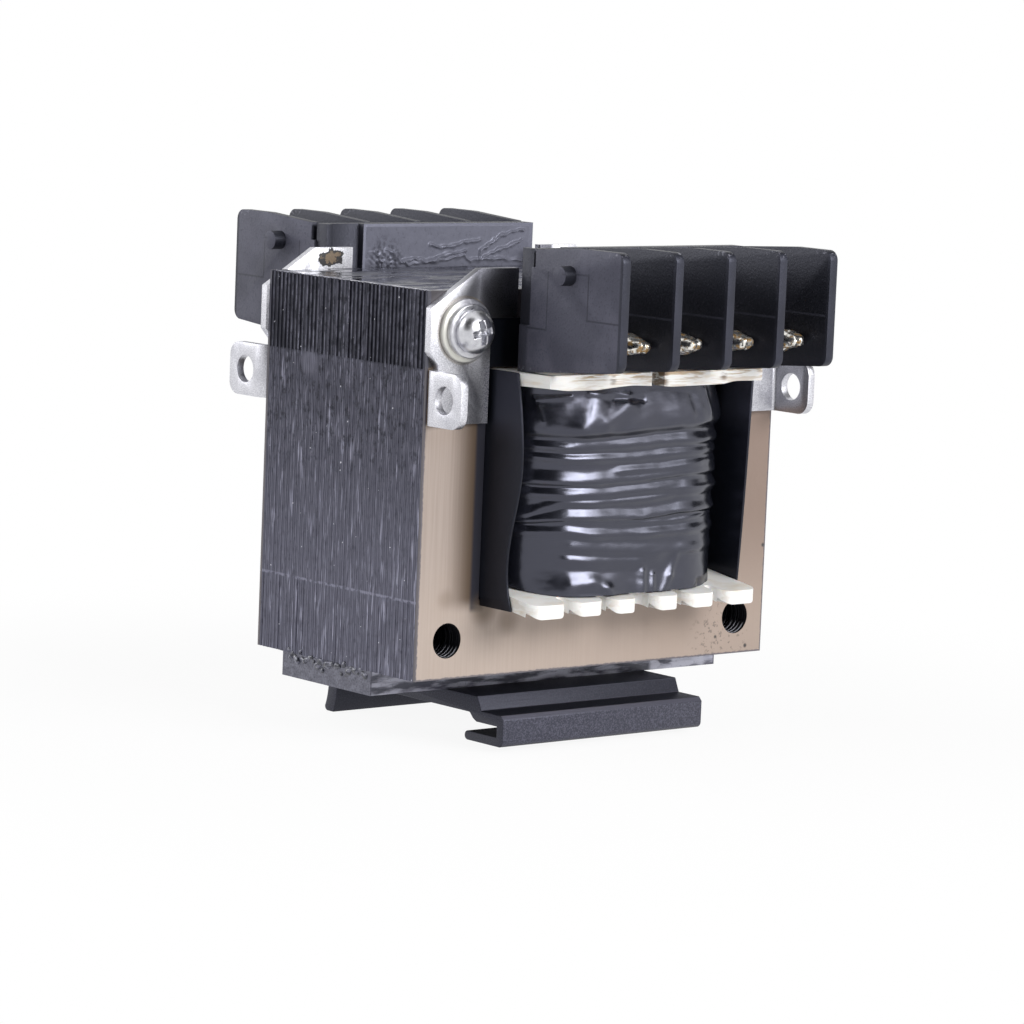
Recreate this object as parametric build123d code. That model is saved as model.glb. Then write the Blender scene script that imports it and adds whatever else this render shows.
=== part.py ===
from build123d import *
import os

# Control transformer on a rail adapter. X runs along the core's front face, Y runs from
# the front to the back, Z is up. The origin is under the middle of the core, on the
# surface that the adapter's rear leg stands on. All lengths are in millimetres.

# Core: scrapless E and I sheets. Every size of a sheet follows from the limb width.
limb = 11.0                # width of an outer limb, a window and a yoke
packet = 0.88              # two sheets with their varnish
packets = 42
groove_depth = 0.16        # edges of the packets that stand back between two others
groove_width = 0.20
end_sheet = 0.44           # outer sheet at each end of the stack
joint_gap = 0.03           # between an outer E sheet and its I sheet
corner_hole = 5.0          # diameter of the four corner holes

# Base plate and rail adapter
plate_thick = 3.5
plate_deep = 20.7
plate_shift = 1.9          # towards the back, from the middle of the core
adapter_long = 38.0
adapter_arm = 2.5          # thickness of the adapter's flat part
adapter_front = 21.5       # from the middle of the core to the hook's front face
adapter_shelf = 2.0        # step from the arm's top down to the hook's shelf
step_foot = 5.1            # the shelf's depth, from the hook's front face
hook_low = 6.6             # from the arm's top to the hook's underside
jaw_thick = 1.35
jaw_reach = 8.6            # the lower jaw's length, from the hook's front face
slot_wall = 1.5            # hook wall in front of the rail slot
slot_high = 1.55           # opening of the rail slot
lip_reach = 6.9            # the upper jaw's length, from the hook's front face
rail_gap = 37.2            # from the end of the slot to the rear leg
leg_thick = 2.1
leg_low = 7.5              # from the arm's top to the foot of the rear leg
leg_flare = 0.7            # the foot stands this much further back
foot_round = 0.7
step_slope = 0.9           # the step down to the hook's shelf leans by this much
hook_edge = 0.6            # sloping edge between the shelf and the hook's front face
hook_round = 0.9           # lower front edge of the hook
lip_edge = 0.8             # sloping edges of the upper jaw
crook_round = 1.5          # inner corner between the arm and the rear leg
adapter_screw_pitch = 24.0
adapter_screw = 2.9        # shank diameter
adapter_head = 5.4
sink_deep = 1.5            # countersink for the screw's head
adapter_socket = 2.6       # driver socket in the screw's head
adapter_socket_deep = 0.8
adapter_screw_grip = 2.6   # length in the base plate
thread_play = 0.05         # between a screw's shank and its hole, all round

# Bobbin
bobbin_clear = 0.15        # round the core's middle limb
bobbin_wall = 1.0
flange_reach = 11.4        # from the core's face to the front of the tabs
flange_clear = 0.15        # between a flange and the yoke beside it
lower_flange = 2.0
upper_flange = 1.8
lip_droop = 1.6            # the lower flange's ends hang by this much
tab_slits = (3.1, 1.35, 1.35)   # widths, from the middle outwards
tab_widths = (4.95, 5.6)        # the two inner tabs on each side, from the middle
slit_deep = 2.8
tab_round = 1.7
upper_slit = 2.4
corner_across = 1.3        # the upper flange's corners are cut off by this much in X
corner_along = 5.0         # and by this much in Y

# Windings, from the tube outwards
coil_overhang = 9.3        # the coil in front of the core's face
coil_corner = 13.0
coil_clear = 0.7           # from the flange's side to the tape
coil_gap = 0.1             # between a flange and the coil's end
tape = 0.3
interlayer = 0.3
primary_share = 4.2        # build of the primary winding
layer_clear = 0.05
primary_round = 6.7        # outer corners of the primary winding

# Insulation sheets
sheet = 0.4
sheet_clear = 0.1
left_sheet_edge = ((0, 6.4), (7.8, 7.8), (15.5, 7.9), (22.2, 6.4))
right_sheet_edge = ((0, 7.9), (10.8, 7.5), (21.8, 7.0))
# each pair: drop from the sheet's top, reach from the core's face
left_sheet_foot = 7.0      # reach at the sheet's foot
right_sheet_foot = 6.3
left_sheet_hang = 0.9      # outside the window the left sheet's foot is this much lower
right_sheet_hang = 0.1
strip_play = 0.1           # between a yoke strip and its neighbours

# Brackets
steel = 1.2
bracket_out = 0.5          # past the core's side
bracket_rise = 3.1         # above the core's top
bracket_wide = 15.5        # at the top
bracket_foot = 18.7        # from the core's top down to the lower edge
bracket_step = 4.7         # the wide part narrows here
bracket_step_down = 3.9    # from the core's top
bracket_cut_across = 8.5   # sloping corner
bracket_cut_down = 5.4
notch_top = 8.5            # relief above the ear, from the core's top
notch_deep = 1.7
ear_top = 11.0             # from the core's top
ear_reach = 8.4            # from the core's face
ear_hole = 4.0
ear_hole_out = 4.65         # from the core's face
ear_round = 2.0
bend_inside = 0.6

# Bracket screws
bracket_hole = 4.4
flat_washer = 9.0
flat_washer_thick = 0.8
spring_washer = 7.6
spring_washer_thick = 1.0
spring_washer_split = 0.7
head = 6.2
head_high = 2.6
head_edge = 0.8            # straight edge of the head
head_shoulder = (0.84, 0.72)  # where the crown bends, as shares of its radius and height
head_crown = 0.62          # flat middle of the crown, as a share of the head
recess_turn = 12           # degrees
recess_arm = 3.4
recess_wide = 0.75
recess_deep = 1.3
shank = 3.9
shank_in_core = 9.0
sleeve = 4.9               # outer diameter of the threaded sleeve
sleeve_end_play = 0.3

# Terminal blocks
pitch = 9.75
bays = 4
fin = 1.4
block_gap = 4.0            # from the core's face to the block's inner wall
block_deep = 21.8
block_seat = 0.1           # under the block, above the upper flange
block_inner_top = 17.2     # from the core's window top to the wall's top
fin_rise = 0.8             # the fins are higher than the wall
fin_level = 7.7            # length of a fin's level top, from its outer edge
fin_round = 1.5
foot_level = 2.4           # length of a fin's level foot, from the wall's back
foot_rise = 1.6            # the fins' outer lower corners are this much higher
block_wall = 2.4
wall_round = 0.5
end_step = 0.4             # the wall's upper ends stand back by this much
end_step_deep = 2.5        # from the wall's back
end_step_high = 10.7       # from the wall's top
shelf_deep = 7.5           # in front of the wall
shelf_drop = 9.7           # from the wall's top down to the shelf
shelf_thick = 3.2
slot_wide = 0.8
slot_deep = 2.5
slot_place = 2.5           # from the wall's back to the slot
pocket_wide = 5.8
pocket_deep = 1.2
pocket_high = 12.0
boss = 2.75
boss_high = 2.0
boss_place = 10.8          # from the wall's back
boss_drop = 3.1            # from the wall's top

# Terminals
strip = 0.8                # thickness of a terminal plate
strip_wide = 6.4
strip_side_play = 0.2      # between the plate and the moulding
clamp = 6.6
clamp_thick = 0.9
terminal_head = 5.4
terminal_head_high = 2.0
terminal_head_edge = 0.4
terminal_slot = 0.9
terminal_slot_deep = 1.0
slot_turns = (38, 112, 74, 151)   # degrees, one for each bay
terminal_shank = 2.9
terminal_grip = 4.0        # length of the hole in the shelf
grip_play = 0.4            # between the screw's end and the bottom of its hole
tail_wide = 2.0
tail_long = 7.3            # in front of the terminal plate's folded end
tail_side = 2.1            # off the middle of the bay
tail_drop = 2.3            # from the shelf's top
lead = 0.8                 # diameter of a lead wire
lead_play = 0.15           # between a lead and its hole in the flange
lead_out = 8.0             # where the leads leave the coil, from the core's face
lead_bend = 0.9            # height of the lead's first bend above the flange
lead_end_gap = 0.7         # between the terminal plate's fold and the lead
lead_under_tail = 2.4      # length of the lead under the tail
solder_gap = 0.02

# Worked out from the sizes above
width = 6 * limb
height = 5 * limb
stack = packet * packets
half_stack = stack / 2
core_low = plate_thick + leg_low
core_top = core_low + height
window_low = core_low + limb
window_top = core_top - limb
hole_offset = limb / 2
hole_x = width / 2 - hole_offset
holes = [(x, z) for x in (-hole_x, hole_x)
         for z in (core_low + hole_offset, core_top - hole_offset)]
screw_z = core_top - hole_offset
tube_inner_x = limb + bobbin_clear
tube_inner_y = half_stack + bobbin_clear
tube_outer_x = tube_inner_x + bobbin_wall
tube_outer_y = tube_inner_y + bobbin_wall
flange_half = 2 * limb - sheet - 2 * sheet_clear
flange_front = half_stack + flange_reach
lower_flange_low = window_low + flange_clear
lower_flange_top = lower_flange_low + lower_flange
upper_flange_top = window_top - flange_clear
upper_flange_low = upper_flange_top - upper_flange
coil_half_x = flange_half - coil_clear
coil_half_y = half_stack + coil_overhang
coil_low = lower_flange_top + coil_gap
coil_top = upper_flange_low - coil_gap
block_low = upper_flange_top + block_seat
wall_top = window_top + block_inner_top
shelf_top = wall_top - shelf_drop
block_back = half_stack + block_gap
block_front = block_back + block_deep
block_half = (bays * pitch + fin) / 2
shelf_front = block_back + block_wall + shelf_deep
terminal_y = block_back + block_wall + shelf_deep / 2
bay_x = [(i - (bays - 1) / 2) * pitch for i in range(bays)]
adapter_top = core_low - plate_thick


def write(node, shape):
    """Writes one node as a STEP file."""
    shape.label = node
    export_step(shape, f"parts/{node}.step")


def group(solids):
    """Separate solids that share one node."""
    flat = []
    for item in solids:
        flat.extend(item.solids())
    return Compound(children=flat)


def upright(x0, x1, z0, z1):
    """A rectangle on the front plane, between two corners."""
    return Pos((x0 + x1) / 2, (z0 + z1) / 2) * Rectangle(x1 - x0, z1 - z0)


def along_y(face, y0, y1):
    """Extrudes a sketch in X and Z from y0 to y1."""
    return extrude(Plane.XZ.offset(-y0) * face, y1 - y0, dir=(0, 1, 0))


def along_x(face, x0, x1):
    """Extrudes a sketch in Y and Z from x0 to x1."""
    return extrude(Plane.YZ.offset(x0) * face, x1 - x0, dir=(1, 0, 0))


def block(x0, x1, y0, y1, z0, z1):
    """A plain box between two corners."""
    centre = Pos((x0 + x1) / 2, (y0 + y1) / 2, (z0 + z1) / 2)
    return centre * Box(x1 - x0, y1 - y0, z1 - z0)


def corner_holes(some):
    """Discs at the core's corner holes."""
    return [Pos(x, z) * Circle(corner_hole / 2) for x, z in some]


def e_and_i(upside_down):
    """Outlines of one E sheet and its I sheet, the I on top unless upside_down."""
    half = width / 2
    middle = core_low + height / 2
    low = core_low - middle
    top = core_top - middle
    joint = top - limb
    e_sheet = upright(-half, half, low, joint - joint_gap)
    windows = [upright(x - limb / 2, x + limb / 2, low + limb, joint)
               for x in (-1.5 * limb, 1.5 * limb)]
    i_sheet = upright(-half, half, joint, top)
    flip = Rot(0, 0, 180) if upside_down else Rot(0, 0, 0)
    discs = corner_holes(holes)
    sheets = []
    for outline in (e_sheet - windows, i_sheet):
        sheets.append(Pos(0, middle) * (flip * outline) - discs)
    return sheets


def core_stack():
    """The varnished stack between the two outer sheets, with a groove at each packet."""
    half = width / 2
    face = upright(-half, half, core_low, core_top)
    face -= [upright(x - limb / 2, x + limb / 2, window_low, window_top)
             for x in (-1.5 * limb, 1.5 * limb)]
    face -= corner_holes(holes)
    reach = half_stack - end_sheet
    body = along_y(face, -reach, reach)
    rim = upright(-half - 1, half + 1, core_low - 1, core_top + 1)
    rim -= upright(-half + groove_depth, half - groove_depth,
                   core_low + groove_depth, core_top - groove_depth)
    grooves = []
    for i in range(1, packets):
        y = i * packet - half_stack
        grooves.append(along_y(rim, y - groove_width / 2, y + groove_width / 2))
    return body - grooves


def end_sheets(side):
    """The outer E and I sheets of one end of the core."""
    inner = side * (half_stack - end_sheet)
    outer = side * half_stack
    e_face, i_face = e_and_i(side > 0)
    y0, y1 = sorted((inner, outer))
    return along_y(e_face, y0, y1), along_y(i_face, y0, y1)


def base_plate():
    """Flat bar under the core, with tapped holes for the adapter's screws."""
    plate = block(-width / 2, width / 2, plate_shift - plate_deep / 2,
                  plate_shift + plate_deep / 2, adapter_top, core_low)
    for x in (-adapter_screw_pitch / 2, adapter_screw_pitch / 2):
        drill = Cylinder(adapter_screw / 2 + thread_play, plate_thick * 2)
        plate -= Pos(x, plate_shift, adapter_top) * drill
    return plate


def adapter_profile():
    """Section of the rail adapter in Y and Z."""
    top = adapter_top
    front = -adapter_front
    foot = front + step_foot
    low = top - hook_low
    jaw_top = low + jaw_thick
    slot_end = front + slot_wall
    slot_top = jaw_top + slot_high
    arm_low = top - adapter_arm
    lip = front + lip_reach
    leg_in = slot_end + rail_gap
    leg_out = leg_in + leg_thick
    leg_foot = top - leg_low
    shelf = top - adapter_shelf
    nose = jaw_thick / 2
    leg_middle = (arm_low + leg_foot) / 2
    outline = Polyline(
        (foot + step_slope, top), (foot, shelf), (front + hook_edge, shelf),
        (front, shelf - hook_edge), (front, low + hook_round))
    chin = RadiusArc(outline @ 1, (front + hook_round, low), -hook_round)
    under = Line(chin @ 1, (front + jaw_reach - nose, low))
    tip = ThreePointArc(under @ 1, (front + jaw_reach, low + nose),
                        (front + jaw_reach - nose, jaw_top))
    inside = Polyline(
        tip @ 1, (slot_end, jaw_top), (slot_end, slot_top), (lip - lip_edge, slot_top),
        (lip, arm_low - lip_edge), (lip + lip_edge, arm_low), (leg_in - crook_round, arm_low))
    crook = RadiusArc(inside @ 1, (leg_in, arm_low - crook_round), crook_round)
    inner = ThreePointArc(crook @ 1, (leg_in + leg_flare / 4, leg_middle - leg_flare),
                          (leg_in + leg_flare, leg_foot))
    sole = Line(inner @ 1, (leg_out + leg_flare - foot_round, leg_foot))
    heel = RadiusArc(sole @ 1, (leg_out + leg_flare, leg_foot + foot_round), -foot_round)
    outer = ThreePointArc(heel @ 1, (leg_out + leg_flare / 4, leg_middle), (leg_out, arm_low))
    back = Polyline(outer @ 1, (leg_out, top), (foot + step_slope, top))
    parts = [outline, chin, under, tip, inside, crook, inner, sole, heel, outer, back]
    return make_face(Curve() + parts)


def rail_adapter():
    """Extruded hook rail, screwed to the base plate from below."""
    body = along_x(adapter_profile(), -adapter_long / 2, adapter_long / 2)
    for x in (-adapter_screw_pitch / 2, adapter_screw_pitch / 2):
        sink = Pos(x, plate_shift, adapter_top - adapter_arm)
        cut = sink * Cone(adapter_head / 2 + thread_play, adapter_screw / 2 + thread_play,
                          sink_deep, align=(Align.CENTER, Align.CENTER, Align.MIN))
        drill = sink * Cylinder(adapter_screw / 2 + thread_play, adapter_arm * 3)
        body -= [cut, drill]
    return body


def adapter_screws():
    """Countersunk screws, their heads flush with the adapter's underside."""
    screws = []
    for x in (-adapter_screw_pitch / 2, adapter_screw_pitch / 2):
        at = Pos(x, plate_shift, adapter_top - adapter_arm)
        bottom = (Align.CENTER, Align.CENTER, Align.MIN)
        cone = Cone(adapter_head / 2, adapter_screw / 2, sink_deep, align=bottom)
        rod = Cylinder(adapter_screw / 2, adapter_arm + adapter_screw_grip, align=bottom)
        driver = Cylinder(adapter_socket / 2, adapter_socket_deep, align=bottom)
        screws.append(at * (cone + rod - driver))
    return group(screws)


def tab_edge():
    """Cutters that divide one end of the lower flange into six rounded tabs."""
    cutters = []
    x = tab_slits[0] / 2
    slits = [(-x, x)]
    for tab, slit in zip(tab_widths, tab_slits[1:]):
        x += tab
        slits.append((x, x + slit))
        slits.append((-x - slit, -x))
        x += slit
    for x0, x1 in slits:
        reach = flange_front - slit_deep
        cutters.append(Pos((x0 + x1) / 2, -flange_front) * Rectangle(x1 - x0, 2 * slit_deep))
        cutters.append(Pos((x0 + x1) / 2, -reach) * Circle((x1 - x0) / 2))
    return cutters


def lower_flange_plan():
    """Outline of the lower flange from above, the same at both ends."""
    plan = Rectangle(2 * flange_half, 2 * flange_front)
    ends = tab_edge()
    plan -= ends
    plan -= [Rot(0, 0, 180) * item for item in ends]
    outer = [v for v in plan.vertices() if abs(v.Y) > flange_front - 0.01]
    return fillet(outer, tab_round)


def upper_flange_plan():
    """Outline of the upper flange from above: cut corners and one slit at each end."""
    in_x = flange_half - corner_across
    in_y = flange_front - corner_along
    plan = Polygon(
        (-flange_half, -in_y), (-in_x, -flange_front), (in_x, -flange_front),
        (flange_half, -in_y), (flange_half, in_y), (in_x, flange_front),
        (-in_x, flange_front), (-flange_half, in_y), align=None)
    for side in (-1, 1):
        plan -= Pos(0, side * flange_front) * Rectangle(upper_slit, 2 * slit_deep)
        for x in bay_x:
            at = Pos(x + tail_side, side * (half_stack + lead_out))
            plan -= at * Rectangle(lead + 2 * lead_play, lead + 2 * lead_play)
    return plan


def bobbin():
    """One moulding: a tube round the middle limb and a flange at each end of it."""
    tube = Rectangle(2 * tube_outer_x, 2 * tube_outer_y)
    tube -= Rectangle(2 * tube_inner_x, 2 * tube_inner_y)
    body = Pos(0, 0, lower_flange_low) * extrude(tube, upper_flange_top - lower_flange_low)
    hole = Rectangle(2 * tube_inner_x, 2 * tube_inner_y)
    upper = Pos(0, 0, upper_flange_low) * extrude(upper_flange_plan() - hole, upper_flange)
    end = flange_front + 1
    low = lower_flange_low
    droop = lip_droop * (end - half_stack) / flange_reach
    section = Polygon(
        (-end, low - droop), (-half_stack, low), (half_stack, low), (end, low - droop),
        (end, low - droop + lower_flange), (half_stack, low + lower_flange),
        (-half_stack, low + lower_flange), (-end, low - droop + lower_flange), align=None)
    sheet_form = along_x(section, -flange_half, flange_half)
    plan = lower_flange_plan() - hole
    cutter = Pos(0, 0, low - 2 * lip_droop) * extrude(plan, lower_flange + 4 * lip_droop)
    return body + upper + (sheet_form & cutter)


def layer(inner_x, inner_y, inner_round, outer_x, outer_y, outer_round):
    """A rounded ring as high as the coil."""
    ring = RectangleRounded(2 * outer_x, 2 * outer_y, outer_round)
    if inner_round > 0:
        ring -= RectangleRounded(2 * inner_x, 2 * inner_y, inner_round)
    else:
        ring -= Rectangle(2 * inner_x, 2 * inner_y)
    return Pos(0, 0, coil_low) * extrude(ring, coil_top - coil_low)


def coil():
    """Primary, interlayer, secondary and tape, each round the last."""
    x0, y0 = tube_outer_x + layer_clear, tube_outer_y + layer_clear
    x1, y1 = x0 + primary_share, y0 + primary_share
    r1 = primary_round
    x2, y2, r2 = x1 + layer_clear, y1 + layer_clear, r1 + layer_clear
    x3, y3, r3 = x2 + interlayer, y2 + interlayer, r2 + interlayer
    x4, y4, r4 = x3 + layer_clear, y3 + layer_clear, r3 + layer_clear
    x7, y7, r7 = coil_half_x, coil_half_y, coil_corner
    x6, y6, r6 = x7 - tape, y7 - tape, r7 - tape
    x5, y5, r5 = x6 - layer_clear, y6 - layer_clear, r6 - layer_clear
    return {
        "primary_winding": layer(x0, y0, 0, x1, y1, r1),
        "interlayer_insulation": layer(x2, y2, r2, x3, y3, r3),
        "secondary_winding": layer(x4, y4, r4, x5, y5, r5),
        "outer_tape": layer(x6, y6, r6, x7, y7, r7),
    }


def window_sheet(side, edge, foot, hang):
    """Black sheet between the coil and an outer limb, its two free ends cut by hand."""
    inner = side * (flange_half + sheet_clear)
    outer = side * (flange_half + sheet_clear + sheet)
    x0, x1 = sorted((inner, outer))
    low = window_low + sheet_clear
    high = window_top - sheet_clear
    face = -half_stack - sheet_clear
    points = [(-half_stack - reach, high - drop) for drop, reach in edge]
    curve = Spline(*points, (-half_stack - foot, low - hang))
    rest = Polyline(curve @ 1, (face, low - hang), (face, low), (0, low), (0, high),
                    curve @ 0)
    half = along_x(make_face(Curve() + [curve, rest]), x0, x1)
    return half + half.mirror(Plane.XZ)


def yoke_strip(side):
    """Black strip on the upper yoke's face, between the two brackets."""
    reach = width / 2 + bracket_out - (bracket_wide - bracket_step) - strip_play
    y0, y1 = sorted((side * half_stack, side * (half_stack + sheet)))
    return block(-reach, reach, y0, y1, window_top + strip_play,
                 core_top - bracket_step_down - strip_play)


def bracket():
    """Front left bracket: a plate on the core's face and an ear folded forward."""
    left = -width / 2 - bracket_out
    right = left + bracket_wide
    top = core_top + bracket_rise
    neck = right - bracket_step
    foot = core_top - bracket_foot
    ear_up = core_top - ear_top
    notch = core_top - notch_top
    outline = Polygon(
        (left, top - bracket_cut_down), (left + bracket_cut_across, top), (right, top),
        (right, core_top - bracket_step_down), (neck, core_top - bracket_step_down),
        (neck, foot), (left + notch_deep, foot), (left + notch_deep, ear_up),
        (left + notch_deep - 0.2, notch - notch_deep), (left, notch), align=None)
    hole = Pos(-hole_x, screw_z) * Circle(bracket_hole / 2)
    face = -half_stack
    plate = along_y(outline - hole, face - steel, face)
    plan = Polygon(
        (left, face), (left + notch_deep + 1, face), (left + notch_deep + 1, face - steel),
        (left + steel, face - steel), (left + steel, face - ear_reach),
        (left, face - ear_reach), align=None)
    inside = [v for v in plan.vertices()
              if abs(v.X - left - steel) < 0.01 and abs(v.Y - face + steel) < 0.01]
    plan = fillet(inside, bend_inside)
    outside = [v for v in plan.vertices()
               if abs(v.X - left) < 0.01 and abs(v.Y - face) < 0.01]
    plan = fillet(outside, bend_inside + steel)
    fold = Pos(0, 0, foot) * extrude(plan, ear_up - foot, dir=(0, 0, 1))
    middle = (foot + ear_up) / 2
    side = Pos(face - ear_reach / 2, middle) * Rectangle(ear_reach, ear_up - foot)
    free = [v for v in side.vertices() if v.X < face - ear_reach + 0.01]
    side = fillet(free, ear_round)
    side += Pos(face, middle) * Rectangle(2 * steel, ear_up - foot)
    side -= Pos(face - ear_hole_out, middle) * Circle(ear_hole / 2)
    fold &= along_x(side, left - 1, left + notch_deep + 2)
    return plate + fold


def four_corners(shape):
    """The same piece at the four upper corners, named by its place."""
    back = shape.mirror(Plane.XZ)
    return {
        "front_left": shape,
        "front_right": shape.mirror(Plane.YZ),
        "rear_left": back,
        "rear_right": back.mirror(Plane.YZ),
    }


def ring(outer, inner, thick):
    """A flat ring that starts at the origin and grows towards the front."""
    return along_y(Circle(outer / 2) - Circle(inner / 2), -thick, 0)


def bracket_screw():
    """Pan head screw with a cross recess; the head's underside is at the origin."""
    half = head / 2
    shoulder = (half * head_shoulder[0], -head_high * head_shoulder[1])
    outline = Polyline((0, 0), (half, 0), (half, -head_edge), shoulder,
                       (half * head_crown, -head_high), (0, -head_high), (0, 0))
    body = revolve(make_face(outline), Axis.Y)
    cross = Rectangle(recess_arm, recess_wide) + Rectangle(recess_wide, recess_arm)
    body -= along_y(Rot(0, 0, recess_turn) * cross, -head_high - 1, recess_deep - head_high)
    under = flat_washer_thick + spring_washer_thick + steel + shank_in_core
    return body + along_y(Circle(shank / 2), 0, under)


def bracket_fasteners():
    """Screws, washers and sleeves of the four brackets."""
    face = -half_stack - steel
    flat = ring(flat_washer, bracket_hole, flat_washer_thick)
    spring = ring(spring_washer, bracket_hole, spring_washer_thick)
    cut = Pos(spring_washer / 2, 0, 0) * Rot(0, 25, 0)
    spring -= cut * Box(spring_washer, 4 * spring_washer_thick, spring_washer_split)
    place = Pos(-hole_x, 0, screw_z)
    nodes = {}
    nodes["bracket_flat_washers"] = place * Pos(0, face, 0) * flat
    face -= flat_washer_thick
    nodes["bracket_spring_washers"] = place * Pos(0, face, 0) * spring
    face -= spring_washer_thick
    nodes["bracket_screws"] = place * Pos(0, face, 0) * bracket_screw()
    for name, shape in nodes.items():
        nodes[name] = group(four_corners(shape).values())
    tube = Circle(sleeve / 2) - Circle(shank / 2 + thread_play)
    reach = half_stack - sleeve_end_play
    sleeves = [along_y(Pos(x, screw_z) * tube, -reach, reach) for x in (-hole_x, hole_x)]
    nodes["screw_sleeves"] = group(sleeves)
    return nodes


def fin_profile():
    """Side view of one fin of the front block."""
    back = -block_back
    front = -block_front
    high = wall_top + fin_rise
    side = Polygon(
        (back, block_low), (back - foot_level, block_low), (front, block_low + foot_rise),
        (front, high), (front + fin_level, high), (back - slot_place, wall_top),
        (back, wall_top), align=None)
    outer = [v for v in side.vertices() if abs(v.X - front) < 0.01]
    side = fillet(outer, fin_round)
    slot = Pos(back - slot_place - slot_wide / 2, wall_top)
    return side - slot * Rectangle(slot_wide, 2 * slot_deep)


def terminal_block():
    """Front terminal block: five fins, an inner wall and a shelf in each bay."""
    back = -block_back
    body = None
    for i in range(bays + 1):
        x = i * pitch - block_half
        plate = along_x(fin_profile(), x, x + fin)
        body = plate if body is None else body + plate
    wall = block(-block_half + fin / 2, block_half - fin / 2, back - block_wall, back,
                 block_low, wall_top)
    shelf = block(-block_half + fin / 2, block_half - fin / 2,
                  -shelf_front, back - block_wall / 2, shelf_top - shelf_thick, shelf_top)
    body += [wall, shelf]
    uprights = [e for e in body.edges().filter_by(Axis.Z)
                if abs(abs(e.center().X) - block_half) < 0.01 and abs(e.center().Y - back) < 0.01]
    body = fillet(uprights, wall_round)
    for side in (-1, 1):
        x0, x1 = sorted((side * (block_half - end_step), side * (block_half + 1)))
        body -= block(x0, x1, back - end_step_deep, back + 1,
                      wall_top - end_step_high, wall_top + fin_rise + 1)
    pocket_x = fin - block_half + pocket_wide / 2
    body -= block(pocket_x - pocket_wide / 2, pocket_x + pocket_wide / 2, back - pocket_deep,
                  back + 1, wall_top - pocket_high, wall_top + 1)
    stub = Pos(back - boss_place, wall_top - boss_drop) * Circle(boss / 2)
    body += along_x(stub, -block_half - boss_high, -block_half + fin / 2)
    body += along_x(stub, block_half - fin / 2, block_half + boss_high)
    for x in bay_x:
        grip = Pos(x, -terminal_y, shelf_top - terminal_grip)
        drill = Cylinder(terminal_shank / 2 + thread_play, 2 * terminal_grip,
                         align=(Align.CENTER, Align.CENTER, Align.MIN))
        body -= grip * drill
    return body


def terminal_plate(x):
    """Plate under the screw, folded down in front of the shelf and out into a tail."""
    back = -block_back - block_wall - strip_side_play
    front = -shelf_front - strip_side_play - strip
    top = shelf_top + strip
    tail_top = shelf_top - tail_drop
    half = strip_wide / 2
    flat = block(x - half, x + half, front, back, shelf_top, top)
    drill = Cylinder(terminal_shank / 2 + thread_play, 4 * strip)
    flat -= Pos(x, -terminal_y, shelf_top) * drill
    fold = block(x - half, x + half, front, front + strip, tail_top - strip, shelf_top)
    side = x + tail_side
    tail = block(side - tail_wide / 2, side + tail_wide / 2, front - tail_long, front,
                 tail_top - strip, tail_top)
    return flat + fold + tail


def clamp_washer(x):
    """Square clamp washer under the screw's head."""
    low = shelf_top + strip
    half = clamp / 2
    body = block(x - half, x + half, -terminal_y - half, -terminal_y + half,
                 low, low + clamp_thick)
    drill = Cylinder(terminal_shank / 2 + thread_play, 4 * clamp_thick)
    return body - Pos(x, -terminal_y, low) * drill


def terminal_screw(x):
    """Slotted terminal screw with a cylinder head, turned as its bay's screw is."""
    low = shelf_top + strip + clamp_thick
    bottom = (Align.CENTER, Align.CENTER, Align.MIN)
    top_edge = Cylinder(terminal_head / 2, terminal_head_high, align=bottom)
    top_edge = chamfer(top_edge.edges().group_by(Axis.Z)[-1], terminal_head_edge)
    cut = Box(terminal_head * 2, terminal_slot, 2 * terminal_slot_deep)
    turn = Rot(0, 0, slot_turns[bay_x.index(x) % len(slot_turns)])
    top_edge -= Pos(0, 0, terminal_head_high) * turn * cut
    reach = terminal_grip + strip + clamp_thick - grip_play
    rod = Pos(0, 0, -reach) * Cylinder(terminal_shank / 2, reach, align=bottom)
    return Pos(x, -terminal_y, low) * (top_edge + rod)


def lead_wire(x):
    """Lead from the coil's end up through the flange and under a solder tail."""
    side = x + tail_side
    start = -half_stack - lead_out
    tail_low = shelf_top - tail_drop - strip
    tail_y = -shelf_front - strip_side_play - strip - lead_end_gap
    end = tail_low - lead / 2 - solder_gap
    path = Polyline((side, start, coil_top), (side, start, block_low + lead_bend),
                    (side, tail_y, end), (side, tail_y - lead_under_tail, end))
    profile = Plane(path @ 0, z_dir=path % 0) * Circle(lead / 2)
    return sweep(profile, path=path, transition=Transition.RIGHT)


def both_ends(pieces):
    """Pieces of the front terminal block and the same pieces at the back."""
    return {"front": group(pieces),
            "rear": group([piece.mirror(Plane.XZ) for piece in pieces])}


os.makedirs("parts", exist_ok=True)

write("core_stack", core_stack())
for end, side in (("front", -1), ("rear", 1)):
    e_sheet, i_sheet = end_sheets(side)
    write(f"{end}_e_lamination", e_sheet)
    write(f"{end}_i_lamination", i_sheet)
    write(f"{end}_yoke_strip", yoke_strip(side))
write("base_plate", base_plate())
write("rail_adapter", rail_adapter())
write("adapter_screws", adapter_screws())
write("bobbin", bobbin())
for name, shape in coil().items():
    write(name, shape)
for name, sheet_end in (
        ("left_window_sheet", (-1, left_sheet_edge, left_sheet_foot, left_sheet_hang)),
        ("right_window_sheet", (1, right_sheet_edge, right_sheet_foot, right_sheet_hang))):
    write(name, window_sheet(*sheet_end))
for corner, shape in four_corners(bracket()).items():
    write(f"{corner}_bracket", shape)
for name, shape in bracket_fasteners().items():
    write(name, shape)
write("front_terminal_block", terminal_block())
write("rear_terminal_block", terminal_block().mirror(Plane.XZ))
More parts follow.
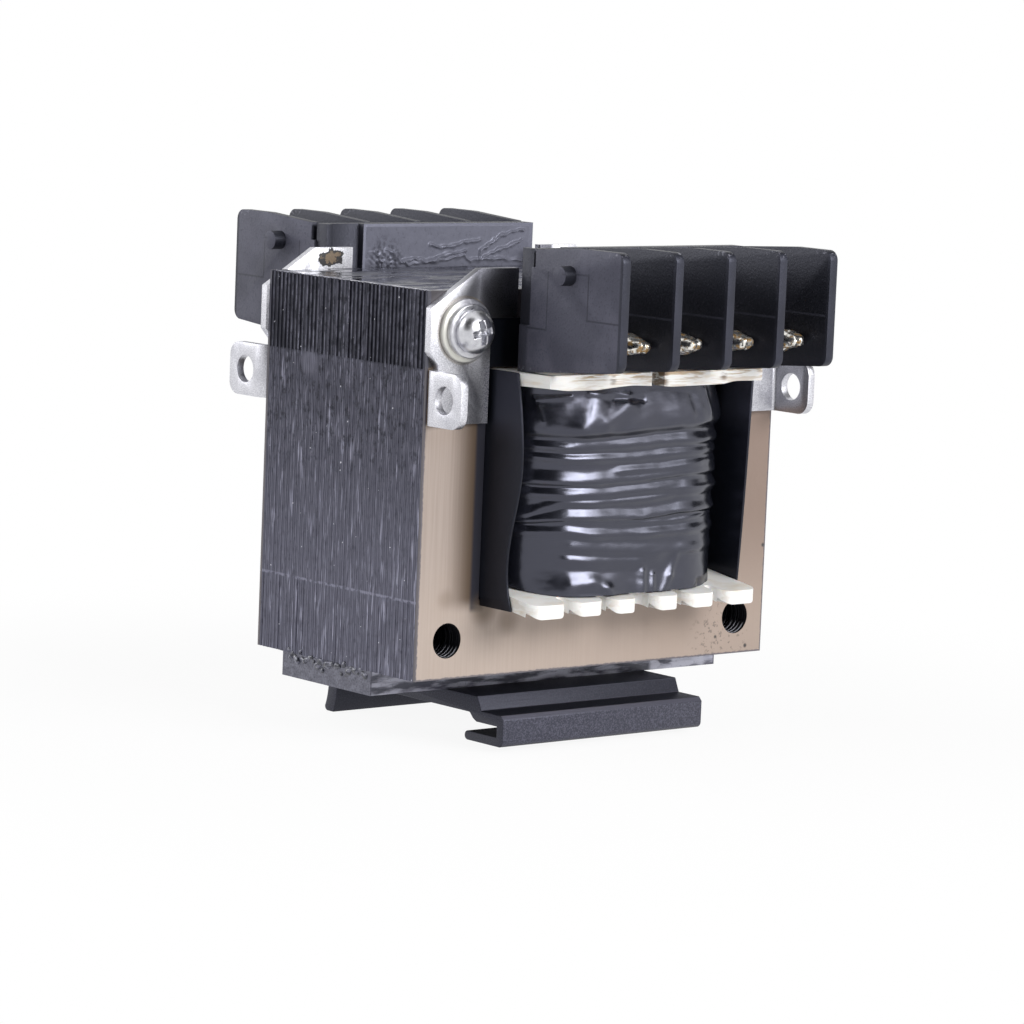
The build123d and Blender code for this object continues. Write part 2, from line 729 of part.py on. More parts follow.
for name, piece in (("terminal_plates", terminal_plate), ("clamp_washers", clamp_washer),
                    ("terminal_screws", terminal_screw), ("leads", lead_wire)):
    for end, shape in both_ends([piece(x) for x in bay_x]).items():
        write(f"{end}_{name}", shape)
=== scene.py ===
import math
import bmesh
import bpy
import numpy as np
from mathutils import Matrix, Vector, noise


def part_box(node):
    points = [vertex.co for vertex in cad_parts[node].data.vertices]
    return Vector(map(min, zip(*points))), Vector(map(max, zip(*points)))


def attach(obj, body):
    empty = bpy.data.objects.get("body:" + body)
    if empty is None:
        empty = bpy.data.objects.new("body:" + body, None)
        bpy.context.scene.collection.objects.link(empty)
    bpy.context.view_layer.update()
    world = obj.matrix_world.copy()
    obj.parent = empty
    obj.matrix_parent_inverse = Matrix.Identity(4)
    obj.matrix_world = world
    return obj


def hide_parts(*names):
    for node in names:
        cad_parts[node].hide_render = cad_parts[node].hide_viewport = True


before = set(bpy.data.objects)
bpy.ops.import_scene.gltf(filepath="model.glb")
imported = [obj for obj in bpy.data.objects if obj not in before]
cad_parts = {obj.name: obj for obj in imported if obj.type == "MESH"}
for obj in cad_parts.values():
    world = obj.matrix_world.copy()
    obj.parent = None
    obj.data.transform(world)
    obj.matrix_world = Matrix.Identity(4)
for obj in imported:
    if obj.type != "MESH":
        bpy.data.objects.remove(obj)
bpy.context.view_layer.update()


# The camera stands where the photographer stood: to the left of the front, a little above
# the core, far away with a long lens. Its place comes from the core's straight edges.
mm = 0.001
camera_place = Vector((-424.56, -503.81, 113.05)) * mm
camera_turn, camera_tip, camera_roll = 0.699145, 0.123591, 0.041182
focal_length, sensor_width = 158.3, 36.0

ahead = Vector((math.sin(camera_turn) * math.cos(camera_tip),
                math.cos(camera_turn) * math.cos(camera_tip), -math.sin(camera_tip)))
level = Vector((math.cos(camera_turn), -math.sin(camera_turn), 0))
upward = level.cross(ahead)
across = math.cos(camera_roll) * level + math.sin(camera_roll) * upward
upward = math.cos(camera_roll) * upward - math.sin(camera_roll) * level
lens = bpy.data.cameras.new("photo_lens")
lens.lens, lens.sensor_width = focal_length, sensor_width
lens.clip_start, lens.clip_end = 0.05, 20


def placed(name, thing):
    """Puts a camera, a lamp or a mesh into the scene."""
    made = bpy.data.objects.new(name, thing)
    bpy.context.collection.objects.link(made)
    return made


photo_camera = placed("photo_camera", lens)
photo_camera.matrix_world = Matrix.Translation(camera_place) @ Matrix(
    (across, upward, -ahead)).transposed().to_4x4()
bpy.context.scene.camera = photo_camera


# The studio: a white sweep all round and a pale floor, a long soft lamp in front that fades
# in five parts, and two lamps at the left. A black card hangs on each side of the front
# lamp, so that glossy black surfaces keep dark bands next to their highlights.
bpy.context.scene.view_settings.view_transform = "Standard"


class Signal:
    """A socket in a node tree. Arithmetic on signals adds Math nodes."""

    def __init__(self, tree, socket):
        self.tree, self.socket = tree, socket

    def maths(self, operation, *values):
        return self.tree.node("ShaderNodeMath", {"operation": operation}, *values)

    def __add__(self, other):
        return self.maths("ADD", self, other)

    def __sub__(self, other):
        return self.maths("SUBTRACT", self, other)

    def __rsub__(self, other):
        return self.maths("SUBTRACT", other, self)

    def __mul__(self, other):
        return self.maths("MULTIPLY", self, other)

    def __pow__(self, other):
        return self.maths("POWER", self, other)

    def __abs__(self):
        return self.maths("ABSOLUTE", self)

    __radd__, __rmul__ = __add__, __mul__

    def either(self, other):
        return self.maths("MAXIMUM", self, other)

    def wave(self):
        return self.maths("SINE", self)

    def step(self, low, high):
        """0 below low and 1 above high, smooth between; high may be the lower one."""
        return self.tree.node("ShaderNodeMapRange", {"interpolation_type": "SMOOTHSTEP"},
                              self, low, high, 0.0, 1.0)

    def between(self, low, high, edge):
        """1 from low to high, fading out over edge at both ends."""
        return self.step(low - edge, low) * self.step(high + edge, high)


class Tree:
    """The nodes of the studio's sweep or of a material."""

    def __init__(self, owner):
        owner.use_nodes = True
        self.owner, self.nodes, self.links = owner, owner.node_tree.nodes, owner.node_tree.links

    def node(self, kind, settings, *values, output=0, **named):
        """Adds a node: its settings first, then the values or links of its sockets."""
        made = self.nodes.new(kind)
        for key, setting in settings.items():
            setattr(made, key, setting)
        for place, value in [*enumerate(values), *named.items()]:
            key = place.replace("_", " ") if isinstance(place, str) else place
            self.join(value, made.inputs[key])
        return made if output is None else Signal(self, made.outputs[output])

    def join(self, value, socket):
        if isinstance(value, Signal):
            self.links.new(value.socket, socket)
        else:
            socket.default_value = value

    def seen_directly(self):
        """1 where the camera sees a surface, also in a reflection or through glass."""
        eye, glint, through = (self.node("ShaderNodeLightPath", {}, output=f"Is {ray} Ray")
                               for ray in ("Camera", "Glossy", "Transmission"))
        return eye.either(glint).either(through)


sweep = Tree(bpy.data.worlds.new("white_sweep"))
bpy.context.scene.world = sweep.owner
backdrop = sweep.nodes["Background"].inputs
backdrop["Color"].default_value = (1, 1, 1, 1)
light_from_sweep = 0.28
sweep.join(sweep.seen_directly() * (1 - light_from_sweep) + light_from_sweep,
           backdrop["Strength"])


class Finish(Tree):
    """A material for one of the transformer's surfaces, laid out in millimetres."""

    def __init__(self, name, **fixed):
        super().__init__(bpy.data.materials.new(name))
        self.shader, self.colour = self.nodes["Principled BSDF"].inputs, None
        for socket, value in fixed.items():
            self.shader[socket.replace("_", " ")].default_value = value
        place = self.node("ShaderNodeTexCoord", {}, output="Object")
        self.place = self.vector("SCALE", place, Scale=1 / mm)
        self.x, self.y, self.z = self.parts(self.place)

    def vector(self, operation, *values, output=0, **named):
        return self.node("ShaderNodeVectorMath", {"operation": operation}, *values,
                         output=output, **named)

    def parts(self, vector):
        """The X, Y and Z of a vector."""
        apart = self.node("ShaderNodeSeparateXYZ", {}, vector, output=None)
        return [Signal(self, socket) for socket in apart.outputs]

    def facing(self):
        """How far the surface faces along X, Y and Z, from -1 to 1."""
        return self.parts(self.node("ShaderNodeNewGeometry", {}, output="True Normal"))

    def grain(self, size, stretch=(1, 1, 1), detail=2.0, rough=0.5, shift=0.0):
        """Noise from 0 to 1 whose lumps are about size across, longer along stretch."""
        where = self.vector("MULTIPLY", self.place,
                            tuple(1 / (size * side) for side in stretch))
        if shift:
            where = self.vector("ADD", where, (shift, 1.7 * shift, 2.3 * shift))
        return self.node("ShaderNodeTexNoise", {"noise_dimensions": "3D"}, Vector=where,
                         Scale=1.0, Detail=detail, Roughness=rough)

    def ball(self, centre, radius, edge):
        """1 within a radius of a point in millimetres, fading out over edge."""
        far = self.vector("DISTANCE", self.place, tuple(centre), output="Value")
        return far.step(radius + edge, radius)

    def blend(self, share, first, second):
        """A colour between two others, which are paints or signals of colour."""
        made = self.node("ShaderNodeMix", {"data_type": "RGBA"}, output=None)
        self.join(share, made.inputs["Factor"])
        for value, socket in ((first, made.inputs[6]), (second, made.inputs[7])):
            self.join(value if isinstance(value, Signal) else paint(*value), socket)
        return Signal(self, made.outputs[2])

    def undercoat(self, share, first, second):
        """Starts the surface's colour as a blend of two."""
        self.colour = self.blend(share, first, second)

    def stain(self, share, over):
        """Lays another colour over the one so far."""
        self.colour = self.blend(share, self.colour, over)

    def surface(self, bump=None, depth=0.02, **varying):
        """Feeds the shader; bump is a height, in which 1 stands for depth millimetres."""
        for socket, value in varying.items():
            self.join(value, self.shader[socket.replace("_", " ")])
        self.join(self.colour, self.shader["Base Color"])
        if bump is not None:
            self.join(self.node("ShaderNodeBump", {}, Height=bump, Distance=depth * mm,
                                Strength=1.0), self.shader["Normal"])


def paint(red, green, blue):
    """A colour written as a paint chart gives it, from 0 to 255."""
    return (*(((v / 255 + 0.055) / 1.055) ** 2.4 if v > 10 else v / 255 / 12.92
              for v in (red, green, blue)), 1)


studio_reach = 700.0
studio_middle = Vector((0, -20, 40))


def aimed(thing, name, turn, height):
    """Hangs a lamp or a card, turn degrees left of straight ahead and height degrees up."""
    turn, height = math.radians(turn), math.radians(height)
    flat = studio_reach * math.cos(height)
    direction = Vector((-flat * math.sin(turn), -flat * math.cos(turn),
                        studio_reach * math.sin(height)))
    holder = placed(name, thing)
    holder.location = (studio_middle + direction) * mm
    holder.rotation_euler = (-direction).to_track_quat("-Z", "Y").to_euler()
    return holder


def soft_lamp(name, turn, height, size, radiance):
    """A rectangular lamp; its power follows from how bright its face is."""
    lamp = bpy.data.lights.new(name, "AREA")
    lamp.shape, lamp.size, lamp.size_y = "RECTANGLE", size[0] * mm, size[1] * mm
    lamp.energy = radiance * math.pi * lamp.size * lamp.size_y
    aimed(lamp, name, turn, height)


for number, (turn, width, radiance) in enumerate(
        ((-3, 270, 12.5), (-18.5, 130, 9.2), (-28, 98, 5.5), (-36, 98, 3.4), (-43, 73, 2.0))):
    soft_lamp(f"front_lamp_{number}", turn, 25, (width, 250), radiance)
soft_lamp("far_left_lamp", 100, 42, (380, 380), 2.0)
soft_lamp("back_left_lamp", 142, 24, (420, 300), 3.2)


def flat_sheet(name, half_wide, half_high):
    """A rectangle, its sizes in metres."""
    sheet = bpy.data.meshes.new(name)
    sheet.from_pydata([(x * half_wide, y * half_high, 0)
                       for x, y in ((-1, -1), (1, -1), (1, 1), (-1, 1))], [], [(0, 1, 2, 3)])
    return sheet


card_finish = Finish("black_card", Roughness=1.0)
card_finish.undercoat(card_finish.grain(20), (0, 0, 0), (2, 2, 2))
card_finish.surface()
card_high = 750
for name, turn, width in (("left_card", 41, 840), ("right_card", -84, 510)):
    card = aimed(flat_sheet(name, width * mm / 2, card_high * mm / 2), name, turn, 38)
    card.data.materials.append(card_finish.owner)
    card.visible_camera = card.visible_shadow = card.visible_diffuse = False
floor_finish = Finish("pale_floor", Roughness=0.9)
floor_finish.undercoat(floor_finish.grain(60, detail=3.0), (250, 250, 251), (253, 253, 254))
floor_finish.surface()
away = floor_finish.vector("LENGTH", floor_finish.place, output="Value").step(60, 150)
glow = floor_finish.node("ShaderNodeEmission", {}, Color=(1, 1, 1, 1), Strength=1.0)
lit = Signal(floor_finish, floor_finish.nodes["Principled BSDF"].outputs[0])
white = floor_finish.seen_directly() * (0.92 + 0.08 * away)
both = floor_finish.node("ShaderNodeMixShader", {}, white, lit, glow)
floor_finish.join(both, floor_finish.nodes["Material Output"].inputs["Surface"])
half_floor = 4.0
floor = placed("floor", flat_sheet("floor", half_floor, half_floor))
floor.data.materials.append(floor_finish.owner)


# The core: E and I sheets pushed into the bobbin from both sides in turn, one at a time,
# then dipped in varnish. Every other sheet has its joint one limb from the top, where the I
# pieces stand back a little, and the rest have it one limb from the bottom.


def corners(node):
    """The lowest and the highest corner of a CAD piece, in millimetres."""
    return [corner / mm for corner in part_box(node)]


stack_low, stack_high = corners("core_stack")
limb = (stack_high.x - stack_low.x) / 6
core_middle = (stack_low + stack_high) / 2
sheets_inside = 82
sheet_thick = (stack_high.y - stack_low.y) / sheets_inside
hole_radius, hole_corners = 2.5, 24
sheet_burr = 0.05
stand_back = 0.12      # of the I sheets at the top, at each side
blue_gloss = (0.78, 0.80, 1.0, 1.0)


def piece(name, mesh, finish, replaces=(), smooth=None):
    """Puts a mesh in millimetres into the scene and lets it stand for CAD nodes."""
    mesh.transform(Matrix.Scale(mm, 4))
    mesh.materials.clear()
    mesh.materials.append(finish.owner)
    mesh.validate()
    if smooth is not None:
        mesh.shade_smooth()
        mesh.set_sharp_from_angle(angle=math.radians(smooth))
    made = placed(name, mesh)
    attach(made, "root")
    if replaces:
        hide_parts(*replaces)


def mesh_of(points, faces):
    """A mesh from points in millimetres."""
    mesh = bpy.data.meshes.new("shape")
    mesh.from_pydata([tuple(map(float, p)) for p in points], [], faces)
    return mesh


def settled(thing):
    """The mesh that a curve, metal balls or an object's modifiers come to."""
    bpy.context.view_layer.update()
    mesh = bpy.data.meshes.new_from_object(
        thing.evaluated_get(bpy.context.evaluated_depsgraph_get()))
    bpy.data.objects.remove(thing)
    return mesh


def stamped(outline, holes, thick, burr):
    """Points and faces of a stamped sheet in X and Z, its edges broken by burr."""
    curve = bpy.data.curves.new("sheet", "CURVE")
    curve.dimensions, curve.fill_mode = "2D", "BOTH"
    curve.extrude, curve.bevel_depth, curve.bevel_resolution = thick / 2 - burr, burr, 0
    curve.offset = -burr
    rims = [outline]
    for x, z in holes:
        rims.append([(x + hole_radius * math.cos(a), z + hole_radius * math.sin(a))
                     for a in np.linspace(0, -2 * math.pi, hole_corners, endpoint=False)])
    for rim in rims:
        spline = curve.splines.new("POLY")
        spline.points.add(len(rim) - 1)
        for point, (x, z) in zip(spline.points, rim):
            point.co = (x, z, 0, 1)
        spline.use_cyclic_u = True
    mesh = settled(placed("sheet", curve))
    points = np.array([v.co[:] for v in mesh.vertices])[:, [0, 2, 1]]
    return points, [tuple(p.vertices) for p in mesh.polygons]


w, h = 3 * limb, 2.5 * limb
e_outline = [(-w, -h), (w, -h), (w, h - limb), (2 * limb, h - limb), (2 * limb, -h + limb),
             (limb, -h + limb), (limb, h - limb), (-limb, h - limb), (-limb, -h + limb),
             (-2 * limb, -h + limb), (-2 * limb, h - limb), (-w, h - limb)]
i_outline = [(-w, h - limb), (w, h - limb), (w, h), (-w, h)]
hole_x, hole_z = w - limb / 2, h - limb / 2
e_sheet = stamped(e_outline, [(-hole_x, -hole_z), (hole_x, -hole_z)], sheet_thick, sheet_burr)
i_sheet = stamped(i_outline, [(-hole_x, hole_z), (hole_x, hole_z)], sheet_thick, sheet_burr)
chance = np.random.default_rng(7)
stack_points, stack_faces, used = [], [], 0
for number in range(sheets_inside):
    flipped = number % 2 == 0
    y = stack_low.y + (number + 0.5) * sheet_thick
    for (points, faces), slack, back in ((e_sheet, 0.025, 0), (i_sheet, 0.05, stand_back)):
        narrow = 1 if flipped else 1 - back / (3 * limb)
        moved = points * (narrow, 1, -1 if flipped else 1)
        moved = moved + (core_middle.x + chance.normal(0, slack), y,
                         core_middle.z + chance.normal(0, slack / 3))
        stack_points.append(moved)
        stack_faces += [tuple(i + used for i in (face[::-1] if flipped else face))
                        for face in faces]
        used += len(points)

edges = Finish("varnished_sheet_edges", IOR=1.22, Coat_Roughness=0.1, Specular_Tint=blue_gloss)
joint_high, joint_low = stack_high.z - limb, stack_low.z + limb
dashes = edges.grain(0.45, (1, 1, 12), detail=2.0, rough=0.55)
threads = edges.grain(0.30, (1, 1, 9), detail=2.0, shift=4.0)
pits = edges.grain(0.55, (1, 1, 2.4), detail=2.0, shift=21.0)
pools = edges.grain(6, (1, 1, 1.5), detail=3.0, shift=9.0)
above = edges.z.step(joint_high - 0.4, joint_high + 0.2)
# painted light: the left face of the core is lighter towards the floor and darker towards the top,
# and its bright dashes fade upwards with it
painted_top_shade = edges.z.step(18, 58)
edges.undercoat(painted_top_shade, (106, 106, 121), (72, 72, 84))
edges.stain(threads.step(0.45, 0.7) * 0.5, (128, 128, 144))
edges.stain(dashes.step(0.56, 0.72) * (0.9 - 0.4 * painted_top_shade), (178, 178, 198))
broken = edges.grain(0.5, (1, 1, 2.6), detail=3.0, rough=0.7, shift=17.0)
edges.stain(broken.step(0.46, 0.62) * above * 0.65, (40, 41, 50))
below_joint = edges.z.step(34, 48) * (1 - above)
edges.stain(pits.step(0.58, 0.70) * (0.35 + 0.5 * below_joint), (38, 39, 47))
stripes = abs(edges.x).step(3 * limb - 0.05, 3 * limb - 0.09)
edges.stain(above * stripes * abs(edges.facing()[0]).step(0.3, 0.8), (20, 21, 28))
# painted shade between the sheets: only the middle of each standing sheet is left light
crest = ((edges.y - stack_low.y) * (math.pi / sheet_thick)).wave()
edges.stain(crest.step(0.85, 0.25) * (0.22 + 0.38 * above), (38, 39, 48))
ink = edges.ball((-33, 13.8, 59), 3.2, 3.0).either(edges.ball((-33, -7.5, 57.5), 2.0, 3.0))
mottle = edges.grain(1.5, (1, 1, 1.3), detail=4.0, rough=0.7, shift=31.0)
ink = (ink * above * pools.step(0.40, 0.55)).either(mottle.step(0.50, 0.62) * above)
edges.stain(ink * 0.7, (24, 25, 32))
edges.stain(mottle.step(0.50, 0.66) * (0.22 + 0.60 * below_joint), (34, 35, 43))
wiped = edges.ball((-33, 8.3, 53.6), 1.1, 1.5)
edges.stain(wiped * 0.7, (112, 112, 126))
seam = abs(edges.z - joint_low - 0.1).step(0.30, 0.08) * edges.grain(0.8, shift=2.0).step(0.4, 0.6)
edges.stain(seam * 0.8, (150, 150, 168))
# painted glints: small white specks on the varnished edges
painted_glints = edges.grain(0.6, detail=0.0, shift=13.0).step(0.845, 0.87)
edges.stain(painted_glints, (220, 220, 230))


def from_holes(finish):
    """How far a point of the surface is from the middle of its nearest corner hole."""
    up = abs(finish.z - core_middle.z) - hole_z
    return ((abs(finish.x) - hole_x) ** 2 + up ** 2) ** 0.5


# painted shade darkens the walls of the holes, and painted highlights in bright arcs on the lower
# left of each stand for light on the ridges of the sheets
from_hole = from_holes(edges)
painted_hole_shade = from_hole.step(hole_radius + 0.3, hole_radius + 0.2)
painted_ridge_glints = (edges.y * 8.4 + from_hole * 3).wave().step(0.55, 0.9)
painted_ridge_glints = painted_ridge_glints * (edges.z - core_middle.z + hole_z).step(-0.9, -1.7) * edges.y.step(-13, -16)
edges.stain(painted_hole_shade, (14, 14, 18))
edges.stain(painted_hole_shade * painted_ridge_glints, (214, 214, 224))
edges.surface(dashes * 0.5 + pits * 0.5, 0.06, Roughness=0.50 - 0.1 * ink,
              Coat_Weight=0.12 - 0.1 * ink)
piece("core_sheets", mesh_of(np.vstack(stack_points), stack_faces), edges,
      ["core_stack"], smooth=25)


# Varnish pooled on top of the core when it drained: a smooth dark film over the sheets, with
# a thicker bead along its rim.
pool_low = Vector((stack_low.x - 0.02, stack_low.y, stack_high.z + 0.02))
pool_across, pool_deep = 120, 70
pool_rim = 0.35
pool_points = []
for row in range(pool_deep + 1):
    for column in range(pool_across + 1):
        x = pool_low.x * (1 - 2 * column / pool_across)
        y = pool_low.y * (1 - 2 * row / pool_deep)
        inside = min(abs(pool_low.x) - abs(x), abs(pool_low.y) - abs(y))
        bead = 0.10 * math.exp(-((inside - 0.3) / pool_rim) ** 2) - 0.12 * (inside < 0.05)
        swell = 0.05 * noise.noise((x * 0.22, y * 0.3, 4)) + 0.02 * noise.noise((x, y, 9))
        pool_points.append((x, y, pool_low.z + bead + max(swell, -0.01)))


def grid_faces(rows, columns):
    """Faces between the points of a grid, given row by row."""
    return [(a, a + 1, a + 1 + columns, a + columns)
            for row in range(rows - 1)
            for a in range(row * columns, (row + 1) * columns - 1)]


pooled = Finish("pooled_varnish", IOR=1.55, Specular_Tint=blue_gloss)
smears = pooled.grain(2.4, (3.0, 1, 1), detail=3.0)
scuffs = pooled.grain(0.5, (6, 1.2, 1), detail=1.0, shift=5.0)
# painted highlight along the rim of the pool
rim = abs(pooled.x).step(32.3, 32.6).either(abs(pooled.y).step(17.7, 18.0))
pooled.undercoat(smears, (28, 29, 36), (56, 57, 68))
pooled.stain(scuffs.step(0.68, 0.74) * 0.8, (150, 152, 166))
pooled.stain(rim * 0.8, (170, 170, 184))
pooled.surface(smears, 0.01, Roughness=0.08 + 0.3 * smears.step(0.4, 0.6))
pool_faces = grid_faces(pool_deep + 1, pool_across + 1)
piece("pooled_varnish", mesh_of(pool_points, pool_faces), pooled, smooth=60)


# The outer sheet of each end of the core, bare steel under clear varnish. It is tan, with the fine
# upright grain of the rolled strip, darker where varnish ran and pooled, and has painted shade.
tan_face = Finish("varnished_sheet_face", IOR=1.45, Coat_Roughness=0.25)
across_x, up_z = tan_face.x, tan_face.z
strip_grain = tan_face.grain(0.33, (1, 8, 60), detail=2.0)
cloud = tan_face.grain(12, detail=3.0, shift=3.0)
tan_face.undercoat(strip_grain.step(0.3, 0.7), (158, 144, 135), (167, 153, 144))
# painted shade: the face darkens to the right, where less light falls, and is lighter towards the
# bottom
tan_face.stain(across_x.step(-34, 36), (134, 115, 104))
tan_face.stain(up_z.step(34, 14) * 0.45, (190, 174, 162))
tan_face.stain(cloud.step(0.5, 0.75) * 0.2, (160, 140, 124))
# painted shadow of the left window sheet: the face beside it is brown, and dark grey right next to
# it
painted_sheet_shadow = across_x.step(-29.0, -23.4) * across_x.step(-20.5, -21.5) * up_z.between(22.5, 60, 2.5)
tan_face.stain(painted_sheet_shadow, (92, 76, 62))
tan_face.stain(across_x.between(-23.2, -21.5, 0.7) * up_z.between(21, 60, 1), (46, 46, 56))
# painted shade: brown on the narrow strip left of the bracket ear and at the foot of the left
# window sheet, with one small brown stain beside them
painted_shade_and_stains = across_x.between(-40, -32.0, 0.5) * up_z.between(47.5, 56, 0.6) * 0.9
for x, z, radius, edge, share in ((-21, 20.6, 0.6, 2.8, 0.8), (-16.5, 18.8, 0.4, 2.6, 0.55),
                                  (-28, 22.4, 0.3, 1.8, 0.3)):
    painted_shade_and_stains = painted_shade_and_stains.either(tan_face.ball((x, -18.5, z), radius, edge) * share)
tan_face.stain(painted_shade_and_stains, (104, 88, 72))
ragged = tan_face.grain(1.6, detail=3.0, shift=14.0) - 0.5
tan_face.stain((up_z + ragged * 3).step(56.0, 56.8) * 0.9, (46, 46, 56))
stains = tan_face.grain(0.5, detail=3.0, shift=5.0).step(0.58, 0.66) * 0.45
stains = stains * tan_face.ball((24.5, -18.5, 13.6), 3.6, 3.2)
for x, z, radius in ((-32.6, 56.3, 0.9), (32.6, 27.0, 0.1), (29.9, 12.0, 0.12),
                     (23.8, 13.7, 0.05)):
    stains = stains.either(tan_face.ball((x, -18.5, z), radius, 0.35))
tan_face.stain(stains, (58, 54, 54))
frayed = tan_face.grain(0.7, shift=8.0) * 0.35
rim_wear = (abs(across_x) + frayed).step(32.85, 33.05).either((up_z - frayed).step(11.15, 10.95))
tan_face.stain(rim_wear * 0.8, (74, 75, 88))
# painted shade on the walls of the corner holes
tan_face.stain(from_holes(tan_face).step(hole_radius + 0.03, hole_radius + 0.01), (14, 14, 18))
tan_face.surface(strip_grain, 0.012, Roughness=0.42 + 0.12 * strip_grain, Coat_Weight=0.2)


def dress(finish, *nodes):
    """Gives CAD pieces a finish and keeps their shape."""
    for node in nodes:
        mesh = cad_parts[node].data
        mesh.materials.clear()
        mesh.materials.append(finish.owner)


dress(tan_face, "front_e_lamination", "front_i_lamination", "rear_e_lamination",
      "rear_i_lamination")


# The base plate: a flat steel bar, flush with the core's two sides and welded to it there.
# It went through the same varnish, which left grey smears over dark scale.
plate = Finish("varnished_plate", IOR=1.5, Coat_Roughness=0.15, Specular_Tint=blue_gloss)
smear = plate.grain(1.6, (3.4, 1, 0.6), detail=4.0)
scale_grain = plate.grain(0.3, detail=2.0, shift=6.0)
bare = plate.x.between(20.5, 30.5, 1.0) * plate.grain(1.5, (2, 1, 0.8), shift=3.0).step(0.35, 0.5)
on_side = abs(plate.x).step(32.6, 32.9)
plate.undercoat(smear.step(0.42, 0.62), (70, 70, 81), (176, 176, 190))
plate.stain(on_side * 0.85, plate.blend(scale_grain.step(0.35, 0.7), (98, 98, 111), (64, 64, 75)))
plate.stain(bare, (184, 184, 196))
plate.stain(scale_grain.step(0.6, 0.7) * 0.4, (24, 24, 30))
plate.surface(smear * 0.7 + scale_grain * 0.3, 0.12, Roughness=0.25 + 0.3 * smear, Coat_Weight=0.4,
              Metallic=0.5 * smear.step(0.42, 0.62) * (1 - on_side) + 0.4 * bare)
dress(plate, "base_plate")
plate_low, plate_high = corners("base_plate")


def beads(centres, roughness, seed, fine=0.17):
    """Lumps of metal that run together: balls of metal melted into one mesh."""
    family = bpy.data.metaballs.new("beads")
    family.resolution, family.threshold = fine, 0.5
    for (x, y, z), radius in centres:
        bead = family.elements.new()
        bead.co, bead.radius = (x, y, z), radius * 1.5
    mesh = settled(placed("beads", family))
    for vertex in mesh.vertices:
        lump = noise.noise(vertex.co * 2.1 + Vector((seed, 0, 0)))
        vertex.co += vertex.normal * roughness * lump
    return mesh


weld = Finish("varnished_weld", IOR=1.6, Coat_Weight=0.8, Coat_Roughness=0.06,
              Specular_Tint=blue_gloss)
spatter = weld.grain(0.7, detail=2.0)
weld.undercoat(spatter.step(0.42, 0.6), (22, 23, 30), (116, 116, 130))
# painted glints on the weld beads
weld.stain(weld.grain(0.5, shift=7.0).step(0.68, 0.76), (226, 220, 214))
weld.surface(spatter, 0.1, Roughness=0.25 + 0.3 * spatter)
for side, name in ((-1, "left_weld"), (1, "right_weld")):
    chance = np.random.default_rng(11 + side)
    lumps = []
    for y in np.arange(plate_low.y + 1.2, plate_high.y - 0.8, 0.55):
        x = side * (33.0 - 0.02 - 0.2 * chance.random())
        lumps.append(((x, y, plate_high.z - 0.4 + chance.normal(0, 0.5)),
                      0.34 + 0.34 * chance.random() ** 2))
    piece(name, beads(lumps, 0.16, side), weld, smooth=60)


# The rail adapter: black, extruded and sawn to length, with a hook in front and a springy
# leg behind. The rounded step above the hook has a painted highlight and the front is speckled.
adapter = Finish("black_adapter", IOR=1.48, Specular_Tint=blue_gloss)
pores = adapter.grain(0.20, detail=1.0)
drawn = adapter.grain(0.3, (40, 1, 1), detail=2.0, shift=2.0)
out_x, out_y, out_z = adapter.facing()
adapter.undercoat(drawn.step(0.4, 0.7) * 0.5, (15, 16, 21), (24, 25, 31))
blasted = adapter.blend(pores.step(0.35, 0.75), (46, 46, 55), (80, 80, 92))
hook_front = corners("rail_adapter")[0].y
on_hook = adapter.y.step(hook_front + 1.2, hook_front + 0.6)
adapter.stain((0 - out_y).step(0.45, 0.9) * (0.35 + 0.65 * on_hook), blasted)
adapter.stain(abs(out_x).step(0.6, 0.9) * 0.6, blasted)
# painted highlight on the rounded step above the hook
painted_step_highlight = (0 - out_y).between(0.45, 0.70, 0.15) * out_z.step(0.3, 0.6)
adapter.stain(painted_step_highlight * 0.6, (92, 92, 104))
adapter.surface(pores * 0.5 + drawn * 0.5, 0.025, Roughness=0.34 + 0.2 * pores)


def rounded(node, radius, finish, reshape=None, segments=2, share=lambda place: 1.0):
    """A copy of a CAD piece with its sharp edges broken, in place of the node.

    share tells how much of the radius an edge gets at a place.
    """
    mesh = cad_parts[node].data.copy()
    shape = bmesh.new()
    shape.from_mesh(mesh)
    bmesh.ops.remove_doubles(shape, verts=shape.verts, dist=0.0005 * mm)
    bmesh.ops.dissolve_limit(shape, angle_limit=math.radians(0.5), verts=shape.verts,
                             edges=shape.edges)
    shape.transform(Matrix.Scale(1 / mm, 4))
    if reshape:
        reshape(shape)
    weight = shape.edges.layers.float.new("bevel_weight_edge")
    for line in shape.edges:
        if line.is_manifold and line.calc_face_angle() > math.radians(38):
            line[weight] = share((line.verts[0].co + line.verts[1].co) / 2)
    shape.to_mesh(mesh)
    shape.free()
    copy = placed(node, mesh)
    edge = copy.modifiers.new("edge", "BEVEL")
    edge.width, edge.segments, edge.limit_method = radius, segments, "WEIGHT"
    piece(node + "_part", settled(copy), finish, [node], smooth=35)


rounded("rail_adapter", 0.28, adapter, segments=3)


# Everything zinc plated: the four folded brackets with their screws, spring washers and
# flat washers, the clamp parts of the terminals and the adapter's screws. The sheet metal
# has a fine sandy grain, and yellow varnish dried in a ring round each flat washer.
zinc = Finish("zinc_plating", Metallic=1.0)
sand = zinc.grain(0.17, detail=2.0, rough=0.7)
dull = zinc.grain(5, detail=3.0, shift=8.0)
in_front = zinc.y.step(-18, -19)
